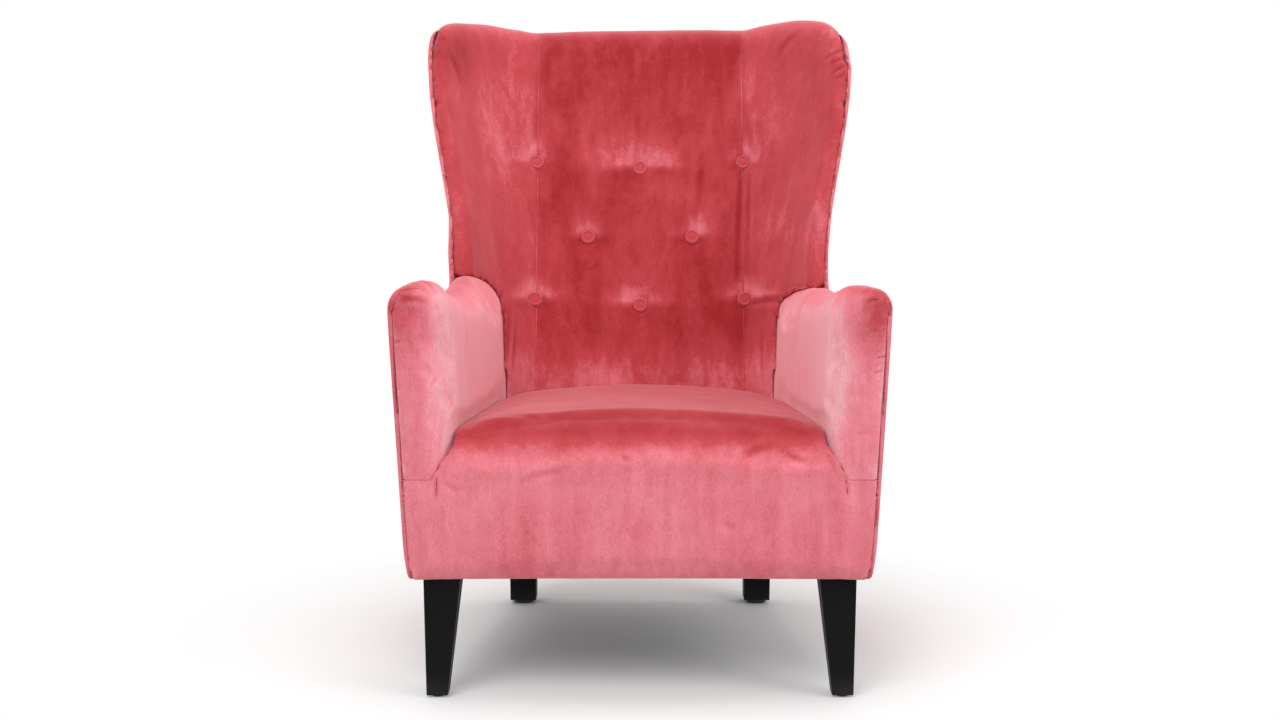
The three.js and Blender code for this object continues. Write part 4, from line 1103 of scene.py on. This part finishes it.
ARM_FOLDS = {
    "left": (
        (((-0.350, -0.352, 0.640), (-0.339, -0.365, 0.638), (-0.326, -0.375, 0.634), (-0.316, -0.382, 0.626)),
         0.0045, 0.0018),
        (((-0.372, -0.390, 0.616), (-0.351, -0.402, 0.622), (-0.337, -0.402, 0.62), (-0.322, -0.399, 0.614)),
         0.0045, 0.0018),
        (((-0.325, -0.409, 0.521), (-0.32, -0.408, 0.518), (-0.315, -0.406, 0.514)), 0.0035, 0.0008),
        (((-0.313, -0.405, 0.492), (-0.308, -0.403, 0.498), (-0.306, -0.4, 0.502)), 0.0035, 0.0007),
        (((-0.369, -0.408, 0.556), (-0.365, -0.41, 0.557), (-0.360, -0.41, 0.557)), 0.0025, 0.0012),
    ),
    "right": (
        (((0.338, -0.398, 0.626), (0.348, -0.396, 0.628), (0.360, -0.385, 0.629)), 0.0035, 0.0013),
        (((0.338, -0.406, 0.616), (0.352, -0.402, 0.620), (0.367, -0.385, 0.622)), 0.0035, 0.0013),
        (((0.369, -0.408, 0.545), (0.364, -0.41, 0.544), (0.357, -0.41, 0.542)), 0.0025, 0.0006),
        (((0.368, -0.41, 0.535), (0.363, -0.41, 0.534), (0.356, -0.41, 0.532)), 0.0025, 0.0009),
        (((0.367, -0.41, 0.525), (0.361, -0.41, 0.523), (0.354, -0.41, 0.521)), 0.0025, 0.0005),
        (((0.366, -0.41, 0.514), (0.36, -0.41, 0.512), (0.353, -0.41, 0.509)), 0.0025, 0.0007),
        (((0.323, -0.41, 0.42), (0.336, -0.41, 0.418), (0.346, -0.41, 0.417)), 0.003, 0.0008),
        (((0.256, 0.044, 0.557), (0.261, -0.028, 0.568), (0.269, -0.111, 0.579)), 0.009, 0.0012),
    ),
}

SEAT_FOLDS = (
    (((-0.3075, -0.408, 0.347), (-0.308, -0.41, 0.337), (-0.3085, -0.41, 0.318)), 0.0035, 0.0016),
    (((-0.294, -0.41, 0.343), (-0.285, -0.41, 0.337), (-0.273, -0.41, 0.331)), 0.0045, 0.0010),
    (((0.3125, -0.408, 0.345), (0.314, -0.41, 0.335), (0.315, -0.41, 0.320)), 0.0035, 0.0010),
    (((0.282, -0.404, 0.388), (0.288, -0.408, 0.377), (0.293, -0.41, 0.362)), 0.0045, 0.0008),
    (((-0.183, -0.41, 0.343), (-0.158, -0.41, 0.354), (-0.133, -0.41, 0.359), (-0.112, -0.41, 0.363)), 0.005, 0.0010),
    (((-0.211, -0.33, 0.428), (-0.183, -0.341, 0.431), (-0.155, -0.353, 0.432)), 0.006, 0.0012),
    (((0.156, -0.408, 0.384), (0.179, -0.404, 0.393), (0.204, -0.399, 0.401)), 0.006, 0.0013),
    (((0.221, -0.405, 0.389), (0.236, -0.408, 0.381), (0.254, -0.409, 0.372)), 0.005, 0.0012),
    (((0.126, -0.41, 0.285), (0.135, -0.41, 0.277), (0.147, -0.41, 0.273)), 0.006, 0.0010),
    (((-0.03, -0.408, 0.383), (-0.021, -0.409, 0.377), (-0.012, -0.409, 0.378)), 0.004, 0.0010),
)

# Dark cords of painted shade in crisp creases at the bottom of the folds: each one's cover, and its places across and
# up as seen from the front

CREASE_SHADES = (
    ("inside_back_cover",
     ((0.1915, 0.829), (0.189, 0.795), (0.186, 0.748), (0.184, 0.701), (0.182, 0.66), (0.182, 0.63))),
    ("wing_cover_right", ((0.205, 0.814), (0.2045, 0.767), (0.204, 0.72), (0.2025, 0.673), (0.201, 0.640))),
    ("wing_cover_right", ((0.372, 1.049), (0.363, 1.045), (0.349, 1.039), (0.340, 1.031))),
    ("wing_cover_right", ((0.373, 1.034), (0.364, 1.030), (0.350, 1.022))),
    ("wing_cover_right", ((0.373, 1.019), (0.365, 1.015), (0.353, 1.006))),
    ("wing_cover_right", ((0.373, 1.004), (0.367, 1.000), (0.356, 0.993))),
    ("arm_cover_left", ((-0.370, 0.557), (-0.365, 0.558), (-0.360, 0.556))),
    ("arm_cover_right", ((0.369, 0.535), (0.363, 0.534), (0.357, 0.532))),
    ("arm_cover_right", ((0.366, 0.514), (0.360, 0.512), (0.354, 0.509))),
    ("arm_cover_right", ((0.342, 0.617), (0.351, 0.620), (0.361, 0.621))),
    ("seat_cover", ((-0.3080, 0.350), (-0.3085, 0.337), (-0.3088, 0.320))),
    ("seat_cover", ((0.3120, 0.348), (0.3140, 0.336), (0.3148, 0.322))),
    ("inside_back_cover", ((-0.092, 0.644), (-0.086, 0.649), (-0.080, 0.655))),
)


# Operators, one for each piece or pair of like pieces

class CHAIR_OT_back_covers(bpy.types.Operator):
    """Inside back and wings, stuffed as one and cut apart along the two seams"""

    bl_idname = "chair.back_covers"
    bl_label = "Back and wings"

    def execute(self, context):
        nodes = ["inside_back", "wing_pad_right", "wing_pad_left"]
        whole = stuffed_form("back_form", nodes, sizes().back_mesh, rounds=4, cap=0.005, slack_cloth=0.006, seed=3)
        seam = sizes().seam_half_width
        tree = tree_of_pieces(["back_form"])
        heights = np.linspace(0.45, 1.08, 80)
        grooves = [(upright_line(tree, sign * seam, heights, 0.0), *GROOVE) for _, sign in SIDES]
        # The folds' painted shade and painted highlight.
        turned = pressed_folds(whole, BACK_FOLDS)
        pressed_folds(whole, grooves)
        swollen_rims(whole, SIDES)
        # Painted light and shade over and under the buttons, on upward faces and in the folds.
        nap_and_light = back_nap_and_light(points_of(whole.data), normals_of(whole.data))
        write_attribute(whole.data, "nap_and_light", nap_and_light + turned)
        bounds = [((sign * (seam - SEAM_SLIT), 0, 0), (sign, 0, 0)) for _, sign in SIDES]
        middle = slice_of(whole, "inside_back_cover", bounds)
        settle(middle, velvet("velvet_back"), ["inside_back"])
        for side, sign in SIDES:
            wing = slice_of(whole, f"wing_cover_{side}", [((sign * (seam + SEAM_SLIT), 0, 0), (-sign, 0, 0))])
            settle(wing, velvet("velvet_wing"), [f"wing_pad_{side}"])
        discard(whole)
        return {"FINISHED"}


class CHAIR_OT_arm_pads(bpy.types.Operator):
    """Arm pads, right and left"""

    bl_idname = "chair.arm_pads"
    bl_label = "Arm pads"

    def execute(self, context):
        for side, sign in SIDES:
            nodes = [f"arm_pad_{side}"]
            piece = stuffed_form(
                f"arm_cover_{side}", nodes, sizes().arm_mesh, rounds=6, cap=0.005, slack_cloth=0.006, seed=9 + sign)
            # The folds' painted shade and painted highlight.
            turned = pressed_folds(piece, ARM_FOLDS[side])
            swollen_rims(piece, [(side, sign)])
            # Painted light by the way the arm faces, painted shade under its roll and in its folds.
            nap_and_light = arm_painted_light(points_of(piece.data), normals_of(piece.data), sign)
            write_attribute(piece.data, "nap_and_light", nap_and_light + turned)
            settle(piece, velvet("velvet_arm"), nodes)
        return {"FINISHED"}


class CHAIR_OT_seat(bpy.types.Operator):
    """Seat and front border under one cover"""

    bl_idname = "chair.seat"
    bl_label = "Seat"

    def execute(self, context):
        nodes = ["seat_cushion", "front_border"]
        piece = stuffed_form("seat_cover", nodes, sizes().seat_mesh, rounds=5, cap=0.006, slack_cloth=0.01, seed=15)
        # The folds' painted shade and painted highlight.
        turned = pressed_folds(piece, SEAT_FOLDS)
        swollen_rims(piece, SIDES)
        # Painted light and shade along the seat and in its folds.
        write_attribute(piece.data, "nap_and_light", seat_painted_light(points_of(piece.data), normals_of(piece.data)) + turned)
        settle(piece, velvet("velvet_seat"), nodes)
        return {"FINISHED"}


class CHAIR_OT_outside_covers(bpy.types.Operator):
    """Outside panels, right and left, and the outside back"""

    bl_idname = "chair.outside_covers"
    bl_label = "Outside covers"

    def execute(self, context):
        for node in ("outside_panel_right", "outside_panel_left", "outside_back"):
            piece = gridded_copy([node], node + "_cover", sizes().panel_mesh, sizes().panel_edge)
            free = open_share(piece, [node])
            points, normals = points_of(piece.data), normals_of(piece.data)
            out = PANEL_WAVE * turbulence(points, 6.0, 21, (1, 1, 0.5)) * free - PANEL_SINK * (1 - free)
            set_points(piece.data, points + normals * out[:, None])
            for side, sign in SIDES:
                if node == f"outside_panel_{side}":
                    inward = normals[:, 0] * sign < PANEL_INWARD
                    shifted = rim_shift(points_of(piece.data), inward, side, sign)
                    set_points(piece.data, rounded_foot(shifted, node))
            set_points(piece.data, shaped(points_of(piece.data), [node]))
            points, normals = points_of(piece.data), normals_of(piece.data)
            # Painted light by the way each face turns, with random patches.
            nap_and_light = facing_light(points, normals, 0.42, 0.2, 0.10) + 0.1 * turbulence(points, 3.0, 31)
            write_attribute(piece.data, "nap_and_light", nap_and_light)
            settle(piece, velvet("velvet_outside"), [node])
        return {"FINISHED"}


def rounded_foot(points, node):
    """Rounds the lower front corner of an outside panel."""
    low = np.array(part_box(node)[0][1:])
    inwards = (points[:, 1:] - low) / CORNER_ROUND
    reach = np.hypot(*(1 - inwards).T)
    inside = (inwards < 1).all(axis=1) & (reach > 1)
    points[inside, 1:] = low + CORNER_ROUND * (1 - (1 - inwards[inside]) / reach[inside, None])
    return points


class CHAIR_OT_dust_cover(bpy.types.Operator):
    """Dust cover, stretched under the seat"""

    bl_idname = "chair.dust_cover"
    bl_label = "Dust cover"

    def execute(self, context):
        shape = merged_shape(["dust_cover"])
        low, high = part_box("dust_cover")
        for axis in (0, 1):
            cut_in_rows(shape, axis, DUST_STEP)
        piece = piece_from(shape, "dust_cover_cloth")
        points = points_of(piece.data)
        inset = np.minimum(points - np.array(low), np.array(high) - points)[:, :2].min(axis=1)
        sag = DUST_SAG * (turbulence(points, 14.0, 41) - 1)
        points[:, 2] += sag * smooth_step(inset / DUST_HEM)
        set_points(piece.data, points)
        dress(piece, lining())
        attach(piece, "root")
        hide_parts("dust_cover")
        return {"FINISHED"}


class CHAIR_OT_seams(bpy.types.Operator):
    """Pale ridges along the seams as painted highlights, dark cords of painted shade along the edges and in crisp
    creases, and slip stitches
    """

    bl_idname = "chair.seams"
    bl_label = "Seams"

    def execute(self, context):
        # Pale cords as painted highlights on the back's seam ridges.
        ridge = seam_tree("seam_ridge", velvet("velvet_seam_highlight"))
        slip = stitch_tree(thread())
        # Dark cords as painted shade in the gaps along the edges and in the creases.
        dark = seam_tree("seam_shade_cord", velvet("velvet_shade"))
        cord, inside = sizes().seam_cord, sizes().seam_half_width - SEAM_OFFSET
        back = tree_of_pieces(["inside_back_cover", "wing_cover_right", "wing_cover_left"])
        heights = np.linspace(0.46, 1.075, 90)
        lines = [upright_line(back, sign * inside, heights, SEAM_LIFT) for _, sign in SIDES]
        grown("back_seam_highlights", lines, ridge, Radius=cord, Step=0.006, Wander=0.25)
        # Dark cords of painted shade in the gaps along the wings' and arms' outer edges and over the left arm's roll.
        edges = []
        for side, sign in SIDES:
            edges.append(edge_line([f"wing_cover_{side}"], sign, np.linspace(1.05, 0.66, 110)))
            edges.append(edge_line([f"arm_cover_{side}", "seat_cover"], sign, np.linspace(0.590, 0.222, 120)))
        grown("edge_seam_shades", edges, dark, Radius=cord, Step=0.004, Wander=0.2)
        grown("roll_seam_shade", [roll_line()], dark, Radius=cord, Step=0.004, Wander=0.3)
        crease_shades = [crease_line(*crease) for crease in CREASE_SHADES]
        grown("crease_shades", crease_shades, dark, Radius=sizes().crease_width, Step=0.003, Wander=0.6)
        grown("crease_stitches", [arm_top_line("right", 1)], slip,
              Step=sizes().stitch_step, Stitch=sizes().stitch_length, Thread=STITCH_THREAD)
        return {"FINISHED"}


# How far the ridges lie inside the back's seams and off the cloth, and how deep the dark crease cords of painted
# shade lie in it
SEAM_OFFSET = 0.0012
SEAM_LIFT = 0.0002
CREASE_SINK = 0.0003
# How far inside a cover's outer edge its dark seam cord of painted shade runs, and the widths tried to find that edge
EDGE_INSET = 0.0016
EDGE_WIDTHS = np.arange(0.395, 0.28, -0.0006)
# The stitches over the arm: the widths and heights tried, their thread, how far above the arm and off the wing
STITCH_WIDTHS = np.linspace(0.256, 0.330, 38)
STITCH_HEIGHTS = np.arange(0.69, 0.58, -0.001)
STITCH_THREAD = 0.0009
STITCH_RISE = 0.0025
STITCH_LIFT = 0.0005


def crease_line(name, line):
    """The path of a dark cord of painted shade laid into its cover along a crease, with a place each few millimetres.
    """
    cover = tree_of_pieces([name])
    places = []
    for (x0, z0), (x1, z1) in zip(line[:-1], line[1:]):
        for share in np.linspace(0, 1, 6)[:-1]:
            places.append(seen_from_front(cover, x0 + (x1 - x0) * share, z0 + (z1 - z0) * share, -CREASE_SINK))
    return kept(places)


# The seam over the left arm's front: its places across and up
ROLL_SEAM = (
    (0.3725, 0.590), (0.3720, 0.602), (0.3700, 0.612), (0.3665, 0.621), (0.3615, 0.6285), (0.3550, 0.6335),
    (0.3477, 0.6360), (0.3400, 0.6365), (0.3315, 0.6350))


def roll_line():
    """The path of a dark cord of painted shade along the seam that carries on from the left outside panel, over the
    top of the arm's front.
    """
    pads = tree_of_pieces(["arm_cover_left"])
    return kept(seen_from_front(pads, -x, z, -SEAM_LIFT) for x, z in ROLL_SEAM)


def edge_line(covers, sign, heights):
    """The seam down the outer edge of a cover, as seen from the front."""
    tree = tree_of_pieces(covers)
    line = []
    for z in heights:
        for across in EDGE_WIDTHS:
            if seen_from_front(tree, sign * across, z, 0.0) is not None:
                line.append(seen_from_front(tree, sign * (across - EDGE_INSET), z, SEAM_LIFT))
                break
    return kept(line)


def arm_top_line(side, sign):
    """The line on a wing just above the arm's top, as the camera sees it."""
    wing, arm = tree_of_pieces([f"wing_cover_{side}"]), tree_of_pieces([f"arm_cover_{side}"])
    eye = Vector(CAMERA_PLACE)
    line = []
    for across in STITCH_WIDTHS:
        lowest = None
        for z in STITCH_HEIGHTS:
            face = seen_from_front(wing, sign * across, z + STITCH_RISE, STITCH_LIFT)
            if face is None or arm.ray_cast(eye, face - eye)[0] is not None:
                break
            lowest = face
        line.append(lowest)
    return kept(line)


class CHAIR_OT_finishes(bpy.types.Operator):
    """Finishes of the buttons, legs, frame and springs"""

    bl_idname = "chair.finishes"
    bl_label = "Finishes"

    def execute(self, context):
        finishes = {
            "velvet": velvet("velvet_back"),
            "button_velvet": velvet("velvet_button"),
            "timber": timber(),
            "black_lacquer": lacquer(),
            "black_plastic": plastic(),
            "zinc_steel": metal("zinc_steel", (0.55, 0.56, 0.57), 0.32),
            "spring_steel": metal("spring_steel", (0.33, 0.33, 0.34), 0.38),
            "dust_cloth": lining(),
        }
        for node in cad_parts.values():
            for place in node.material_slots:
                place.material = finishes[place.material.name.split(".")[0]]
        return {"FINISHED"}


# The soft lamps: where each stands, what it is aimed at, its width and its power
LAMPS = {
    "key": ((-1.1, -2.6, 2.9), (0, 0, 0.5), 2.4, 53),
    "fill": ((2.6, -1.6, 1.6), (0, 0, 0.6), 2.0, 27),
    "top": ((0, 0.2, 3.2), (0, 0, 0.4), 2.2, 30),
}
SKY_COLOUR, SKY_STRENGTH = (1.0, 0.985, 0.97, 1), 0.62
FLOOR_RADIUS, FADE_START, FADE_RUN = 3.0, 0.40, 0.48


class CHAIR_OT_stage(bpy.types.Operator):
    """Floor, soft lights and the camera"""

    bl_idname = "chair.stage"
    bl_label = "Stage"

    def execute(self, context):
        pale_floor()
        sky()
        for name, settings in LAMPS.items():
            soft_light(name, *settings)
        camera()
        return {"FINISHED"}


def pale_floor():
    """A plain floor that runs out round the chair, with only its shadow left."""
    shape = bmesh.new()
    bmesh.ops.create_circle(shape, cap_ends=True, radius=FLOOR_RADIUS, segments=96)
    piece = piece_from(shape, "floor")
    shader = Shader("floor")
    shader.set(Base_Color=colours().floor, Roughness=0.9, Specular_IOR_Level=0.1)
    distance = shader.node("ShaderNodeVectorMath", {0: shader.place}, operation="LENGTH").outputs["Value"]
    far = shader.sum("DIVIDE", shader.sum("SUBTRACT", distance, FADE_START), FADE_RUN, held=True)
    clear = shader.node("ShaderNodeBsdfTransparent", {})
    mixed = shader.node("ShaderNodeMixShader", {0: far, 1: shader.surface.outputs[0], 2: clear.outputs[0]})
    shader.tree.links.new(mixed.outputs[0], shader.tree.nodes["Material Output"].inputs["Surface"])
    piece.data.materials.append(shader.material)


def sky():
    """White where the camera sees it, soft grey light elsewhere."""
    world = bpy.data.worlds.new("studio")
    bpy.context.scene.world = world
    world.use_nodes = True
    tree = world.node_tree
    tree.nodes.clear()
    seen = wired(tree, "ShaderNodeBackground", {"Color": (1, 1, 1, 1), "Strength": 1.0})
    light = wired(tree, "ShaderNodeBackground", {"Color": SKY_COLOUR, "Strength": SKY_STRENGTH})
    ray = wired(tree, "ShaderNodeLightPath", {}).outputs["Is Camera Ray"]
    mixed = wired(tree, "ShaderNodeMixShader", {0: ray, 1: light.outputs[0], 2: seen.outputs[0]})
    wired(tree, "ShaderNodeOutputWorld", {"Surface": mixed.outputs[0]})


def soft_light(name, place, target, size, power):
    lamp = bpy.data.lights.new(name, "AREA")
    lamp.shape = "DISK"
    lamp.size = size
    lamp.energy = power
    piece = new_piece(name, lamp)
    piece.location = place
    direction = Vector(target) - piece.location
    piece.rotation_euler = direction.to_track_quat("-Z", "Y").to_euler()


def camera():
    lens = bpy.data.cameras.new("camera")
    lens.sensor_width = 36.0
    lens.lens = CAMERA_LENS
    piece = new_piece("camera", lens)
    piece.location = CAMERA_PLACE
    piece.rotation_euler = (math.pi / 2 - CAMERA_TILT, 0, 0)
    bpy.context.scene.camera = piece
    bpy.context.scene.view_settings.view_transform = "Standard"


OPERATORS = (
    CHAIR_OT_back_covers,
    CHAIR_OT_arm_pads,
    CHAIR_OT_seat,
    CHAIR_OT_outside_covers,
    CHAIR_OT_dust_cover,
    CHAIR_OT_seams,
    CHAIR_OT_finishes,
    CHAIR_OT_stage,
)


class CHAIR_PT_sidebar(bpy.types.Panel):
    """Lists what builds the chair"""

    bl_idname = "CHAIR_PT_sidebar"
    bl_label = "Scallop back chair"
    bl_space_type = "VIEW_3D"
    bl_region_type = "UI"
    bl_category = "Chair"

    def draw(self, context):
        for operator in OPERATORS:
            self.layout.operator(operator.bl_idname)
        for group in (context.scene.chair_sizes, context.scene.chair_colours):
            for name in group.__annotations__:
                self.layout.prop(group, name)


CLASSES = (ChairSizes, ChairColours, *OPERATORS, CHAIR_PT_sidebar)


def register():
    for kind in CLASSES:
        bpy.utils.register_class(kind)
    bpy.types.Scene.chair_sizes = bpy.props.PointerProperty(type=ChairSizes)
    bpy.types.Scene.chair_colours = bpy.props.PointerProperty(type=ChairColours)


def unregister():
    del bpy.types.Scene.chair_colours
    del bpy.types.Scene.chair_sizes
    for kind in reversed(CLASSES):
        bpy.utils.unregister_class(kind)


def main():
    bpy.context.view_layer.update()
    register()
    for operator in OPERATORS:
        group, name = operator.bl_idname.split(".")
        getattr(getattr(bpy.ops, group), name)()


if __name__ == "__main__":
    main()
